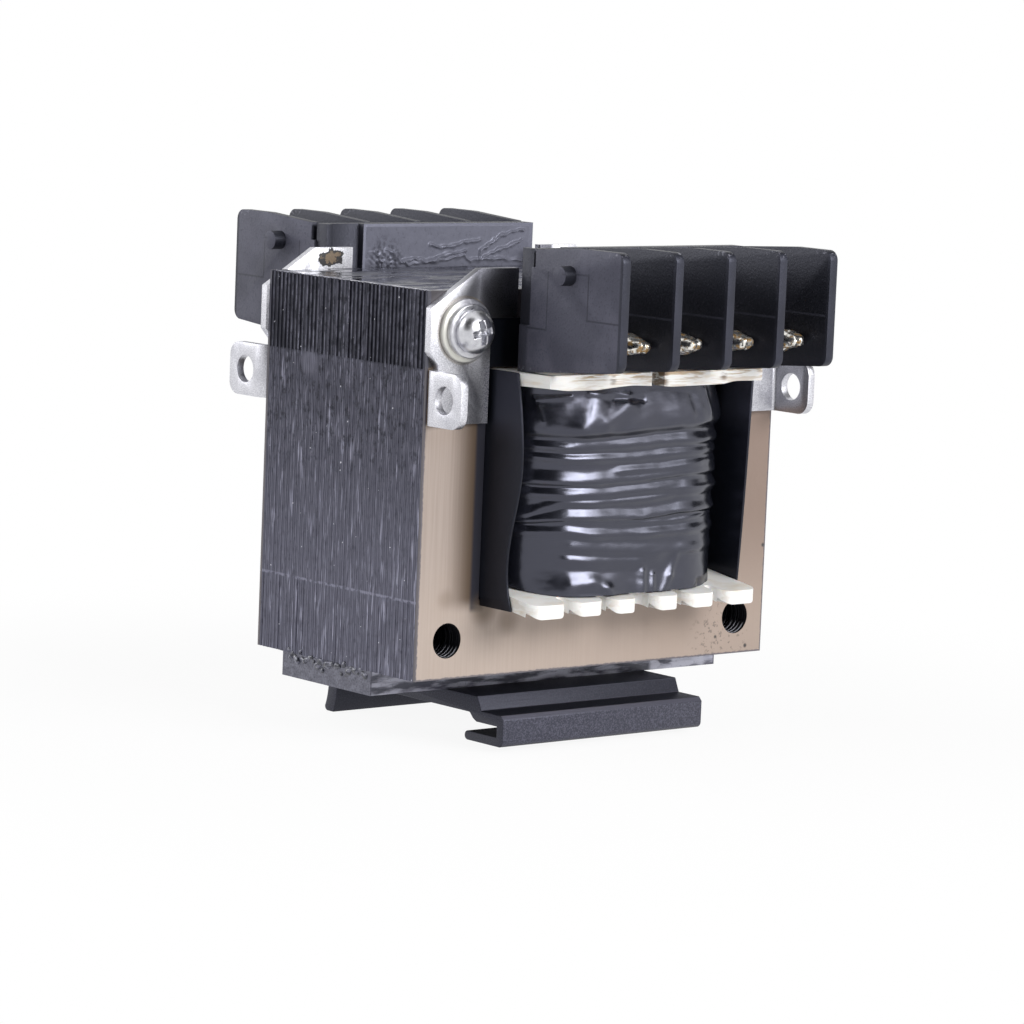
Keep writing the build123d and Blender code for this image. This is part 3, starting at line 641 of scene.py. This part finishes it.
# painted shade: the front brackets darken towards their upper inner corner and over their inner
# part
painted_corner_shade = (zinc.z - 0.6 * abs(zinc.x)).step(40, 52) * abs(zinc.x).step(32, 25) * in_front
painted_corner_shade = painted_corner_shade.either(abs(zinc.x).step(28.5, 23.0) * in_front * 0.45)
zinc.undercoat(sand.step(0.3, 0.7), (184, 184, 192), (234, 234, 239))
zinc.stain(painted_corner_shade * (0.55 + 0.6 * sand), (40, 40, 50))
zinc.stain(dull.step(0.45, 0.7) * 0.3, (130, 131, 142))
screw_x, screw_z = 2.5 * limb, stack_high.z - limb / 2
# painted shade, matt and sandy, on the front brackets below and inside the screw
painted_matt_shade = abs(zinc.x).step(25.0, 22.0) * zinc.z.step(58, 54) * in_front
zinc.stain(painted_matt_shade, zinc.blend(sand.step(0.35, 0.65), (84, 84, 94), (176, 176, 188)))
from_screw = ((abs(zinc.x) - screw_x) ** 2 + (zinc.z - screw_z) ** 2) ** 0.5
zinc.stain(from_screw.between(4.45, 4.8, 0.12) * 0.3, (150, 132, 96))
behind = zinc.y.between(17.5, 18.7, 0.3)
zinc.stain(zinc.x.between(12, 20, 1.0) * behind * 0.9, (40, 40, 50))
# the varnish on the rear left bracket is torn open, and the steel under it has rusted
squeezed = zinc.vector("MULTIPLY", zinc.place, (0.55, 1, 1))
torn_far = zinc.vector("DISTANCE", squeezed, (-12.1, 18.5, 67.6), output="Value")
torn_far = torn_far + 2.4 * (zinc.grain(0.9, detail=3.0, shift=12.0) - 0.5)
torn = torn_far.step(1.25, 1.15) * behind
torn_core = torn_far.step(0.85, 0.65) * behind
zinc.stain(torn, (30, 28, 32))
zinc.stain(torn_core, zinc.blend(sand, (84, 74, 66), (140, 118, 90)))
zinc.surface(sand, Roughness=0.30 + 0.22 * sand, Metallic=(1 - torn) * (1 - 0.7 * painted_matt_shade))
screw_finish = Finish("zinc_screws", Metallic=1.0)
worn = screw_finish.grain(0.8, detail=3.0)
screw_finish.undercoat(worn, (176, 177, 184), (236, 236, 240))
screw_finish.surface(worn, Roughness=0.22 + 0.16 * worn)
dress(screw_finish, "front_clamp_washers", "rear_clamp_washers", "front_terminal_screws",
      "rear_terminal_screws", "adapter_screws", "screw_sleeves")
for corner in ("front_left", "front_right", "rear_left", "rear_right"):
    rounded(corner + "_bracket", 0.14, zinc)
washer = Finish("varnished_washers", Metallic=0.85)
# the left washers are lighter towards their lower left
lower_left_share = (0 - washer.x - screw_x + 0.4 * (screw_z - washer.z)).step(-1.5, 2.5)
washer_worn = washer.grain(0.5, detail=2.0)
washer.undercoat(washer_worn, (150, 150, 160), (206, 206, 214))
washer.stain(lower_left_share, (212, 211, 204))
washer.surface(washer_worn, 0.015, Roughness=0.3 + 0.2 * washer_worn)
rounded("bracket_flat_washers", 0.2, washer)
rounded("bracket_spring_washers", 0.22, screw_finish, segments=3)


# The four bracket screws: pressed steel with a smooth domed head and a cross recess, whose
# walls the driver has bruised. Their shanks end inside the core's sleeves.
head_radius, head_high, head_edge = 3.1, 2.6, 0.7
shank_radius = 1.95
recess_arm, recess_half, recess_deep = 1.75, 0.40, 1.3
recess_turn = math.radians(12)
head_rings, head_spokes = 40, 112


def smooth(t):
    """0 below 0 and 1 above 1, smooth between."""
    t = np.clip(t, 0, 1)
    return t * t * (3 - 2 * t)


def dome(across, along):
    """Height of the head above its underside, with the cross pressed into it."""
    far = min(math.hypot(across, along) / head_radius, 1)
    top = head_edge + (head_high - head_edge) * (1 - far ** 2.3) ** 0.62
    turned = (across * math.cos(recess_turn) + along * math.sin(recess_turn),
              along * math.cos(recess_turn) - across * math.sin(recess_turn))
    cut = 0
    for long, wide in (turned, turned[::-1]):
        shape = smooth((recess_arm - abs(long)) / 0.45)
        shape *= smooth((recess_half - abs(wide)) / 0.22 + 0.5)
        cut = max(cut, shape * (1 - 0.25 * abs(long) / recess_arm))
    return top - recess_deep * cut


screw_points, screw_faces = [], []
head_back = -corners("bracket_screws")[0].y - head_high
shank_end = stack_high.y - head_back - 6
for end in (-1, 1):
    for side in (-1, 1):
        profile = [(head_radius * (k / head_rings) ** 0.85, None) for k in range(1, head_rings + 1)]
        profile += [(head_radius - 0.02, 0.25), (head_radius - 0.2, 0), (shank_radius, 0),
                    (shank_radius, shank_end), (0.05, shank_end)]
        first = len(screw_points)
        for radius, level in profile:
            for k in range(head_spokes):
                angle = 2 * math.pi * k / head_spokes
                x, z = radius * math.cos(angle), radius * math.sin(angle)
                out = dome(x, z) if level is None else level
                screw_points.append((side * screw_x + x, end * (head_back + out), screw_z + z))
        screw_points.append((side * screw_x, end * (head_back + dome(0, 0)), screw_z))
        hub = len(screw_points) - 1
        for k in range(head_spokes):
            after = (k + 1) % head_spokes
            fan = [(hub, first + k, first + after)]
            for ring in range(len(profile) - 1):
                a, b = first + ring * head_spokes, first + (ring + 1) * head_spokes
                fan.append((a + k, b + k, b + after, a + after))
            screw_faces += fan if end == -1 else [face[::-1] for face in fan]
piece("domed_screws", mesh_of(screw_points, screw_faces), screw_finish,
      ["bracket_screws"], smooth=50)


# The bobbin: one cream moulding round the middle limb, stained brown in streaks where
# varnish soaked its edges. The windings are inside it, under the tape.
cream = Finish("cream_moulding", IOR=1.5, Subsurface_Weight=0.15,
               Subsurface_Radius=(0.0012, 0.0008, 0.0005))
stain = cream.grain(1.6, (3.0, 3.0, 0.5), detail=3.0)
fibres = cream.grain(0.42, (9, 3, 0.8), detail=3.0, shift=6.0)
upper_flange = cream.z.step(52.4, 52.6)
cream.undercoat(stain.step(0.50, 0.80) * 0.6, (238, 237, 234), (214, 198, 174))
soaked = fibres.step(0.46, 0.60) * (0.45 + 0.55 * cream.z.step(53.4, 54.6)) * upper_flange
soaked = soaked * cream.x.step(-20.5, -12)
cream.stain(soaked * 0.85, (176, 148, 112))
burnt = cream.ball((-8.5, -29.9, 53.9), 0.1, 0.8).either(cream.ball((12.6, -29.9, 54.0), 0.1, 0.9))
burnt = burnt.either(cream.x.between(0.9, 1.3, 0.9) * upper_flange * cream.y.step(-27, -28))
cream.stain(burnt * fibres.step(0.36, 0.52) * 0.8, (96, 72, 48))
# painted shade in the slit at the middle of the upper flange
slit = abs(cream.x).step(1.0, 0.8) * upper_flange * abs(cream.y).step(26, 27)
cream.stain(slit * 0.9, (36, 30, 26))
tab_side = cream.grain(0.9, (1, 4, 1), shift=11.0).step(0.50, 0.62) * abs(cream.facing()[0])
cream.stain(tab_side * (1 - upper_flange) * 0.25, (178, 158, 128))
cream.surface(stain + fibres, 0.04, Roughness=0.35 + 0.2 * stain)
flange_foot = [(-20.5, 53.09), (-17, 52.70), (-11.6, 52.64), (-6.8, 53.02), (-4.5, 53.12),
               (-1.3, 52.94), (2.7, 52.72), (10, 52.78), (12.7, 52.84), (14.8, 53.20), (21.3, 53.1)]
tabs = [(1.55, 6.5), (7.85, 13.45), (14.8, 21.4)]      # where each tab starts and ends
tabs += [(-right, -left) for left, right in tabs]


def slice_up(shape, places, chosen):
    """Cuts the faces whose corners are all chosen by planes across X."""
    for x in places:
        faces = [f for f in shape.faces if all(chosen(v.co) for v in f.verts)]
        nearby = faces + [e for f in faces for e in f.edges] + [v for f in faces for v in f.verts]
        bmesh.ops.bisect_plane(shape, geom=list(dict.fromkeys(nearby)), dist=0.001,
                               plane_co=(x, 0, 0), plane_no=(1, 0, 0))


def trim(shape):
    """Trims the front edge of the upper flange unevenly, as it left the mould."""
    slice_up(shape, np.arange(-20, 20.5, 0.8), lambda place: place.z > 52.9 and place.y < -20)
    slice_up(shape, np.arange(-21.2, 21.3, 0.4), lambda place: place.z < 25 and abs(place.y) > 26)
    places, heights = zip(*flange_foot)
    for vertex in shape.verts:
        x, y, z = vertex.co
        tab = min(tabs, key=lambda ends: abs(2 * x - ends[0] - ends[1]))
        off = max(0, abs(2 * x - tab[0] - tab[1]) / (tab[1] - tab[0]) - 0.45) / 0.55
        if z < 25 and abs(y) > 28.2:
            vertex.co.y -= math.copysign(0.15 * min(off, 1) ** 2, y)
            vertex.co.z += 0.7 * min(off, 1) ** 2.5 * (z < 21.7)
        if y < -27 and abs(z - 53.05) < 0.01:
            vertex.co.z = np.interp(x, places, heights)


def softness(place):
    """The tabs of the lower flange are rounder than the rest."""
    return 1.0 if place.z < 25 and abs(place.y) > 24 else 0.45


rounded("bobbin", 0.9, cream, trim, segments=4, share=softness)
copper = Finish("enamelled_copper", Metallic=0.8)
# painted shade between the turns of wire, lighter on their crests
wire = (copper.z * (2 * math.pi / 0.5)).wave()
copper.undercoat(wire.step(-1, 1), (96, 44, 22), (190, 104, 60))
copper.surface(wire, 0.1, Roughness=0.3 + 0.1 * wire)
dress(copper, "primary_winding", "secondary_winding", "front_leads", "rear_leads")
paper = Finish("insulating_paper")
fibre = paper.grain(0.5, (2, 2, 1), detail=4.0)
paper.undercoat(fibre, (196, 172, 120), (214, 194, 148))
paper.surface(fibre, 0.03, Roughness=0.7 + 0.1 * fibre)
dress(paper, "interlayer_insulation")


# The black sheets: a thin one in each window, between the coil and the outer limb, and one
# on each face of the upper yoke. They are smooth and bend a little at their free edges.
film = Finish("black_sheet", IOR=1.4, Specular_Tint=blue_gloss)
film_grain = film.grain(3, detail=2.0)
# painted light: the black sheets are lighter high on their front
painted_lit_top = film.z.step(44, 49) * film.y.step(-19, -21)
film.undercoat(film_grain, (12, 14, 20), (18, 20, 27))
film.stain(painted_lit_top, (40, 41, 50))
film.surface(film_grain, 0.05, Roughness=0.28 + 0.15 * film_grain)
dress(film, "front_yoke_strip", "rear_yoke_strip")
for side in ("left", "right"):
    rounded(side + "_window_sheet", 0.1, film)


# The tape: glossy black film wound tightly round the coil. The wire's layers under it press
# it into level ledges, and it has slack folds near the top left and pleats at the bottom.
tape_low, tape_high = corners("outer_tape")
tape_corner = 13.0
tape_rows = 236
wire_high = corners("secondary_winding")[1]
tape_back = 0.85 * (tape_high.y - wire_high.y)     # how far the flat film lies below its node
tape_proud = 1.25                                  # how far the highest fold stands out of it
ledge_scale, ledge_fade = 1.25, 3.0


def coil_line(run, inset):
    """Points round the coil and the way each faces, from the middle of the front face."""
    flat_x, flat_y = tape_high.x - tape_corner, tape_high.y - tape_corner
    arc = tape_corner * math.pi / 2
    runs = [flat_x, arc, 2 * flat_y, arc, 2 * flat_x, arc, 2 * flat_y, arc, flat_x]
    around = sum(runs)
    at = np.mod(run, around)
    ends = np.cumsum(runs)
    part = np.searchsorted(ends, at, side="right").clip(0, 8)
    along = at - np.concatenate(([0], ends))[part]
    centres = np.array([(0, -flat_y), (flat_x, -flat_y), (flat_x, -flat_y), (flat_x, flat_y),
                        (flat_x, flat_y), (-flat_x, flat_y), (-flat_x, flat_y),
                        (-flat_x, -flat_y), (-flat_x, -flat_y)])[part]
    quarter = (part // 2) * math.pi / 2 - math.pi / 2
    turn = np.where(part % 2 == 1, quarter + along / tape_corner, quarter)
    facing = np.stack([np.cos(turn), np.sin(turn)], axis=-1)
    straight = np.where(part % 2 == 0, along, 0)[..., None]
    side = np.stack([-facing[..., 1], facing[..., 0]], axis=-1)
    return centres + facing * (tape_corner - inset) + side * straight, facing, around


def ledge(run, z, line, depth, upper, lower):
    """A level ledge: an even slope that looks up, above a softer one that looks down.

    line holds places along the coil and the height of the ledge there.
    """
    places, heights = zip(*line)
    below = np.interp(run, places, heights) - z
    upper = ledge_scale * upper
    lift = smooth(below / upper + 0.5) * (1 - smooth((below - upper / 2) / lower))
    start, end = ((run - places[0]) / ledge_fade, (places[-1] - run) / ledge_fade)
    return ledge_scale * depth * lift * smooth(start + 0.5) * smooth(end + 0.5)


def crease(run, z, start, end, depth, width):
    """A straight fold between two places on the tape, rounded at both ends."""
    (x0, z0), (x1, z1) = start, end
    long = math.hypot(x1 - x0, z1 - z0)
    along = ((run - x0) * (x1 - x0) + (z - z0) * (z1 - z0)) / long ** 2
    near = np.clip(along, 0, 1)
    far = np.hypot(run - x0 - near * (x1 - x0), z - z0 - near * (z1 - z0))
    return depth * np.exp(-(far / width) ** 2)


# places along the coil with their heights, depth, slope that looks up, slope that looks down
ledges = [
    ([(-21, 49.4), (-13, 49.2), (-6, 49.3), (3, 49.9), (12, 50.2), (24, 50)], 0.72, 4.4, 1.5),
    ([(-60, 44.6), (-19, 45.0), (-13, 44.9), (-1, 45.1), (8, 45.4), (60, 45)], 0.32, 1.25, 0.9),
    ([(-60, 43.3), (-19, 43.3), (-13, 43.1), (-2, 43.0), (8, 43.4), (60, 43.2)], 0.26, 0.95, 0.9),
    ([(-5.5, 41.2), (2, 41.4), (12, 41.9), (40, 41.6)], 0.16, 0.8, 0.8),
    ([(-60, 40.0), (-19, 40.3), (-13, 40.2), (-1, 40.4), (8, 41.0), (60, 40.2)], 0.38, 1.6, 0.8),
    ([(-60, 38.3), (-19, 38.2), (-13, 38.1), (-5, 38.2), (4, 38.6), (60, 38)], 0.30, 1.15, 0.8),
    ([(-22, 35.0), (-19, 35.4), (-14, 37.0), (-10, 36.8), (0, 37.0), (6, 37.6), (30, 38)],
     0.24, 1.0, 0.8),
    ([(-60, 34.8), (-19, 34.4), (-13, 35.0), (0, 34.7), (7, 35.3), (60, 34.9)], 0.34, 1.3, 0.55),
    ([(-14, 34.0), (0, 33.4), (5, 33.3), (14, 33.8)], 0.11, 0.4, 0.45),
    ([(-60, 32.4), (-19, 32.6), (-13, 32.7), (-10, 32.3), (0, 32.0), (10, 32.2), (60, 32)],
     0.26, 0.95, 1.0),
    ([(-13, 30.6), (-5, 30.1), (0, 29.7), (6, 29.5), (30, 29.9)], 0.20, 1.2, 1.0),
    ([(-14, 28.8), (-9, 28.5), (-1, 28.2), (4, 28.7)], 0.20, 1.1, 1.5),
    ([(26, 48.4), (40, 48.0), (75, 48.4)], 0.24, 1.0, 1.2),
    ([(26, 30.2), (45, 29.8), (75, 30.4)], 0.16, 0.9, 1.3),
    ([(-75, 47.8), (-50, 48.3), (-27, 47.6)], 0.24, 1.0, 1.2),
    ([(-75, 29.6), (-50, 30.2), (-27, 30.0)], 0.16, 0.9, 1.3),
]
half_way = coil_line(np.zeros(1), 0)[2] / 2
front_run = 21.0
columns = np.concatenate([np.linspace(-half_way, -front_run, 64, endpoint=False),
                          np.linspace(-front_run, front_run, 280, endpoint=False),
                          np.linspace(front_run, half_way, 64, endpoint=False)])
tape_columns = len(columns)
run_grid, row_share = np.meshgrid(columns, np.linspace(0, 1, tape_rows + 1))
hang = 1.15 * smooth((np.abs(coil_line(columns, 0)[0][:, 1]) - core_middle.y - 19.5) / 7.5)
z_grid = tape_low.z - hang + (tape_high.z - tape_low.z + hang) * row_share


def drift(along, up, seed):
    """Slow noise over the tape, from -1 to 1."""
    return np.array([[noise.noise((run * along, z * up, seed)) for run in columns]
                     for z in z_grid[:, 0]])


wander = 0.12 * drift(0.14, 0.3, 3.1)
lift = 0.06 * drift(0.16, 0.12, 8.3) + 0.035 * drift(0.5, 0.9, 5.5)
for number, (line, depth, upper, lower) in enumerate(ledges):
    swell = np.array([noise.noise((run * 0.16, 5.3 * number, 2.0)) for run in columns])
    lift = lift + ledge(run_grid, z_grid + wander, line, depth, upper, lower) * (1 + 0.55 * swell)
# the loose winding bulges in the middle of its front and back, and the film's foot flares
# over the flange, most at the left
for middle in (0, half_way):
    off = (run_grid - middle + half_way) % (2 * half_way) - half_way
    lift += 0.20 * np.exp(-(off / 6) ** 2) * smooth((53 - z_grid) / 3)
    lift += (0.55 + 0.45 * smooth((-2 - off) / 4)) * np.exp(-(off / 17) ** 6) * smooth(
        (27.4 - z_grid) / 4.6)
# slack folds near the top left: start and end on the film, height and half width
folds = [
    ((-11.4, 47.0), (-9.4, 50.6), 0.50, 1.9), ((-7.8, 47.6), (-3.8, 50.2), 0.40, 1.4),
    ((-10.5, 51.9), (-3.5, 51.5), 0.12, 0.5), ((-6.0, 51.1), (-0.8, 50.8), -0.14, 0.45),
    ((-18.5, 50.9), (-13.5, 51.4), 0.14, 0.35), ((-18.2, 50.2), (-17.4, 47.9), 0.12, 0.5),
    ((8.6, 51.4), (9.6, 48.2), -0.16, 0.8), ((11.6, 51.8), (12.6, 48.6), 0.16, 0.7),
]
# pleats where the film is tucked in at the bottom
folds += [
    ((-12.2, 25.0), (-9.0, 25.2), 0.16, 1.1), ((-9.0, 25.2), (-6.6, 24.2), 0.16, 1.0),
    ((-6.6, 24.2), (-5.4, 22.4), 0.18, 0.8), ((-10.8, 23.4), (-8.2, 23.5), -0.16, 0.8),
    ((0.4, 26.0), (0.1, 22.0), 0.34, 0.75), ((2.4, 25.4), (2.0, 22.0), 0.22, 0.55),
    ((3.8, 22.4), (5.7, 25.3), 0.22, 0.75), ((5.7, 25.3), (6.9, 27.9), 0.18, 0.7),
    ((12.2, 23.4), (15.5, 23.2), -0.30, 0.9),
]
for run, lean in ((31, 0.6), (38, -0.9), (47, 0.4), (60, -0.5), (-31, -0.6), (-40, 0.8),
                  (-58, 0.5)):
    folds.append(((run, 22.2), (run + lean, 25.2), 0.22, 0.5))
for start, end, height, width in folds:
    lift += crease(run_grid, z_grid, start, end, height, width)
at, facing, _ = coil_line(run_grid, tape_back)
close = smooth((tape_high.z - z_grid) / 0.4)
free = smooth((np.abs(at[..., 1]) - core_middle.y - 18.0) / 3.0)
out = np.clip(lift, 0, tape_back + tape_proud * free) * (0.25 + 0.75 * close)
at = at + facing * out[..., None]
inner_ring = coil_line(columns, 2 * tape_back)[0]
rings = [np.column_stack([inner_ring, z_grid[0]])]
rings += list(np.concatenate([at, z_grid[..., None]], axis=-1))
rings += [np.column_stack([inner_ring, z_grid[-1]])]
tape_faces = []
for ring in range(len(rings)):
    low, high = ring * tape_columns, (ring + 1) % len(rings) * tape_columns
    for column in range(tape_columns):
        after = (column + 1) % tape_columns
        tape_faces.append((low + column, low + after, high + after, high + column))
tape = Finish("black_tape", IOR=1.85, Specular_Tint=blue_gloss)
film_wave = tape.grain(1.5, (1, 1, 0.5), detail=2.0)
fine = tape.grain(0.25, detail=1.0, shift=3.0)
tape.undercoat(film_wave, (12, 13, 18), (20, 21, 28))
tape.surface(film_wave * 0.8 + fine * 0.2, Roughness=0.19 + 0.08 * film_wave)
piece("wrinkled_tape", mesh_of(np.vstack(rings), tape_faces), tape, ["outer_tape"],
      smooth=80)


# The terminal blocks: black matt mouldings with five fins, a painted grey sheen on their outer
# ends, and dust on their corners.
moulding = Finish("black_moulding", IOR=1.5, Specular_Tint=blue_gloss)
skin = moulding.grain(0.35, detail=3.0)
haze = moulding.grain(6, detail=3.0, shift=5.0)
far_y = abs(moulding.y)
block_inner = -corners("front_terminal_block")[1].y
moulding.undercoat(haze, (14, 15, 21), (21, 22, 29))
outer_end = abs(moulding.facing()[0]).step(0.7, 0.95) * abs(moulding.x).step(20.0, 20.15)
# painted sheen: the outer ends are a lighter grey than the rest, with a darker strip next to the
# inner wall, speckles and sunk lines
end_sheen_and_marks = moulding.blend(haze.step(0.35, 0.65), (60, 60, 71), (78, 78, 90))
end_sheen_and_marks = moulding.blend(far_y.step(24.9, 24.3) * 0.6, end_sheen_and_marks, (22, 23, 30))
end_sheen_and_marks = moulding.blend(skin.step(0.55, 0.68) * 0.35, end_sheen_and_marks, (30, 31, 38))
# the bays show on the outer end as thin sunk lines, each from a start to an end
marks = abs(moulding.z - 69.4).step(0.20, 0.06) * far_y.between(34, 37.2, 0.3) * 0.6
for level, along, lines in ((far_y, moulding.z, ((28.6, 61.2, 69.2), (37.2, 63.2, 69.5))),
                            (moulding.z, far_y, ((63.2, 37.2, 44), (61.2, 24.5, 28.6)))):
    for place, start, end in lines:
        sunk = abs(level - place).step(0.20, 0.06) * along.between(start, end, 0.3)
        marks = marks.either(sunk)
end_sheen_and_marks = moulding.blend(marks * 0.7, end_sheen_and_marks, (24, 25, 31))
moulding.stain(outer_end, end_sheen_and_marks)
front_edge = far_y.step(43.6, 43.95)
moulding.stain(front_edge, moulding.blend(haze.step(0.3, 0.7), (22, 23, 30), (36, 37, 46)))
inner_wall = far_y.step(block_inner + 0.12, block_inner + 0.04) * moulding.x.step(-13.2, -12.9)
moulding.stain(inner_wall, (104, 105, 118))
dust = moulding.grain(0.5, detail=1.0, shift=9.0).step(0.60, 0.70)
dust = dust * (moulding.z.step(71.9, 72.5) * far_y.step(40, 43.5)).either(
    moulding.z.step(56.2, 55.2) * outer_end * 0.6)
moulding.stain(dust, (120, 120, 130))
ticks = (abs(moulding.z - 63.7).step(0.22, 0.06) * 0.5 + skin.step(0.62, 0.70) * 0.25)
ticks = ticks * (1 - outer_end) * (1 - front_edge) * far_y.step(25, 26)
moulding.stain(ticks, (64, 65, 76))
moulding.surface(skin + 0.3 * haze, 0.03, Roughness=0.36 + 0.2 * skin)
for end in ("front", "rear"):
    rounded(end + "_terminal_block", 0.16, moulding)


# Clear glue smeared over the rear block's inner wall and the strip under it. It dried into
# a thin skin with thick ridges.
ridges = [
    [(-8.46, 68.43), (-7.29, 67.67), (-5.9, 66.46), (-4.74, 66.15), (-2.07, 66.41), (0.23, 66.53),
     (1.75, 67.12), (4.05, 67.55), (6.56, 67.97)],
    [(-0.27, 68.95), (1.67, 68.63), (3.6, 68.76), (5.53, 69.19), (7.47, 69.32), (9.41, 69.61)],
    [(9.17, 66.73), (9.51, 67.79), (11.02, 68.99), (13.32, 70.18), (15.66, 70.77), (18.03, 71.21)],
    [(9.94, 67.02), (12.46, 67.76), (14.99, 68.49), (17.32, 69.54)],
    [(-5.49, 66.5), (-3.63, 67.03), (-1.09, 66.5), (2.74, 66.66), (6.21, 67.22), (7.63, 66.6),
     (13.53, 66.6), (17.5, 66.6)],
]
glue_x, glue_z = np.linspace(-12.6, 19.2, 260), np.linspace(65.6, 71.9, 70)
ridge_high, ridge_half = 0.30, 0.24
glue_points = []


def off_line(point, start, end):
    """How far a point is from the straight piece between two others."""
    along = end - start
    share = (point - start).dot(along) / along.length_squared
    return (point - start - max(0, min(1, share)) * along).length


for z in glue_z:
    for x in glue_x:
        proud = 0.02 + 0.03 * noise.noise((x * 0.5, z * 0.7, 3.0))
        wobble = Vector((x + 0.35 * noise.noise((x, z, 1.5)), z + 0.35 * noise.noise((x, z, 6.5))))
        for line in ridges:
            near = min(off_line(wobble, Vector(a), Vector(b)) for a, b in zip(line, line[1:]))
            ridge = ridge_high * math.exp(-(near / ridge_half) ** 2)
            proud += ridge * (1 + 0.7 * noise.noise((x, z, 8)))
        rough_patch = math.exp(-((x + 8.8) / 3.2) ** 4 - ((z - 67.0) / 1.3) ** 4)
        proud += 0.10 * rough_patch * (1 + 1.6 * noise.noise((x * 2.2, z * 2.2, 5)))
        border = min(x - glue_x[0], glue_x[-1] - x, z - glue_z[0], glue_z[-1] - z)
        proud = max(proud, 0.01) if border > 0.01 else -0.05
        glue_points.append((x, block_inner - proud, z))
glue = Finish("dried_glue", IOR=1.5, Specular_Tint=blue_gloss)
glue_lump = glue.grain(0.6, detail=3.0)
tarnish = glue.ball((-8.8, block_inner, 67.0), 1.6, 2.4)
tarnish = tarnish * glue.grain(0.8, shift=4.0).step(0.42, 0.6)
glue.undercoat(glue_lump, (100, 101, 113), (116, 117, 130))
glue.stain(tarnish * 0.7, (30, 30, 38))
glue.surface(glue_lump, 0.03, Roughness=0.22 + 0.15 * glue_lump)
glue_mesh = mesh_of(glue_points, grid_faces(len(glue_z), len(glue_x)))
piece("dried_glue", glue_mesh, glue, smooth=60)


# The terminal plates are tinned, and solder with brown flux clings to each tail, thick at
# the fold and thin at the tip.
tinned = Finish("tinned_plate", Metallic=1.0)
tin = tinned.grain(0.5, detail=3.0)
tinned.undercoat(tin, (200, 198, 190), (236, 234, 226))
tinned.surface(tin, 0.03, Roughness=0.2 + 0.15 * tin)
dress(tinned, "front_terminal_plates", "rear_terminal_plates")
solder = Finish("solder", Metallic=1.0)
flux = solder.grain(0.8, detail=3.0, shift=2.0)
solder.undercoat(flux.step(0.50, 0.60), (240, 238, 232), (150, 120, 78))
solder.surface(flux, 0.08, Roughness=0.18 + 0.25 * flux, Metallic=1 - 0.7 * flux.step(0.50, 0.60))
tail_tip = corners("front_terminal_plates")[0].y
tail_middles, tail_top, tail_fold = (-12.5, -2.8, 7.0, 16.7), 59.75, 3.6
for end in (-1, 1):
    chance = np.random.default_rng(20 + end)
    lumps = []
    for x in tail_middles:
        for share in np.linspace(0, 1, 7):
            size = 1.45 - 0.75 * share ** 0.7 + 0.15 * chance.random()
            y = end * (-tail_tip - 0.45 - tail_fold * (1 - share))
            z = tail_top + chance.normal(0, 0.15)
            lumps.append(((x - 0.55, y, z), size))
            lumps.append(((x + 0.55, y, z + chance.normal(0, 0.1)), size))
    piece(("front" if end == -1 else "rear") + "_solder", beads(lumps, 0.14, 5 + end, 0.25), solder,
          smooth=60)
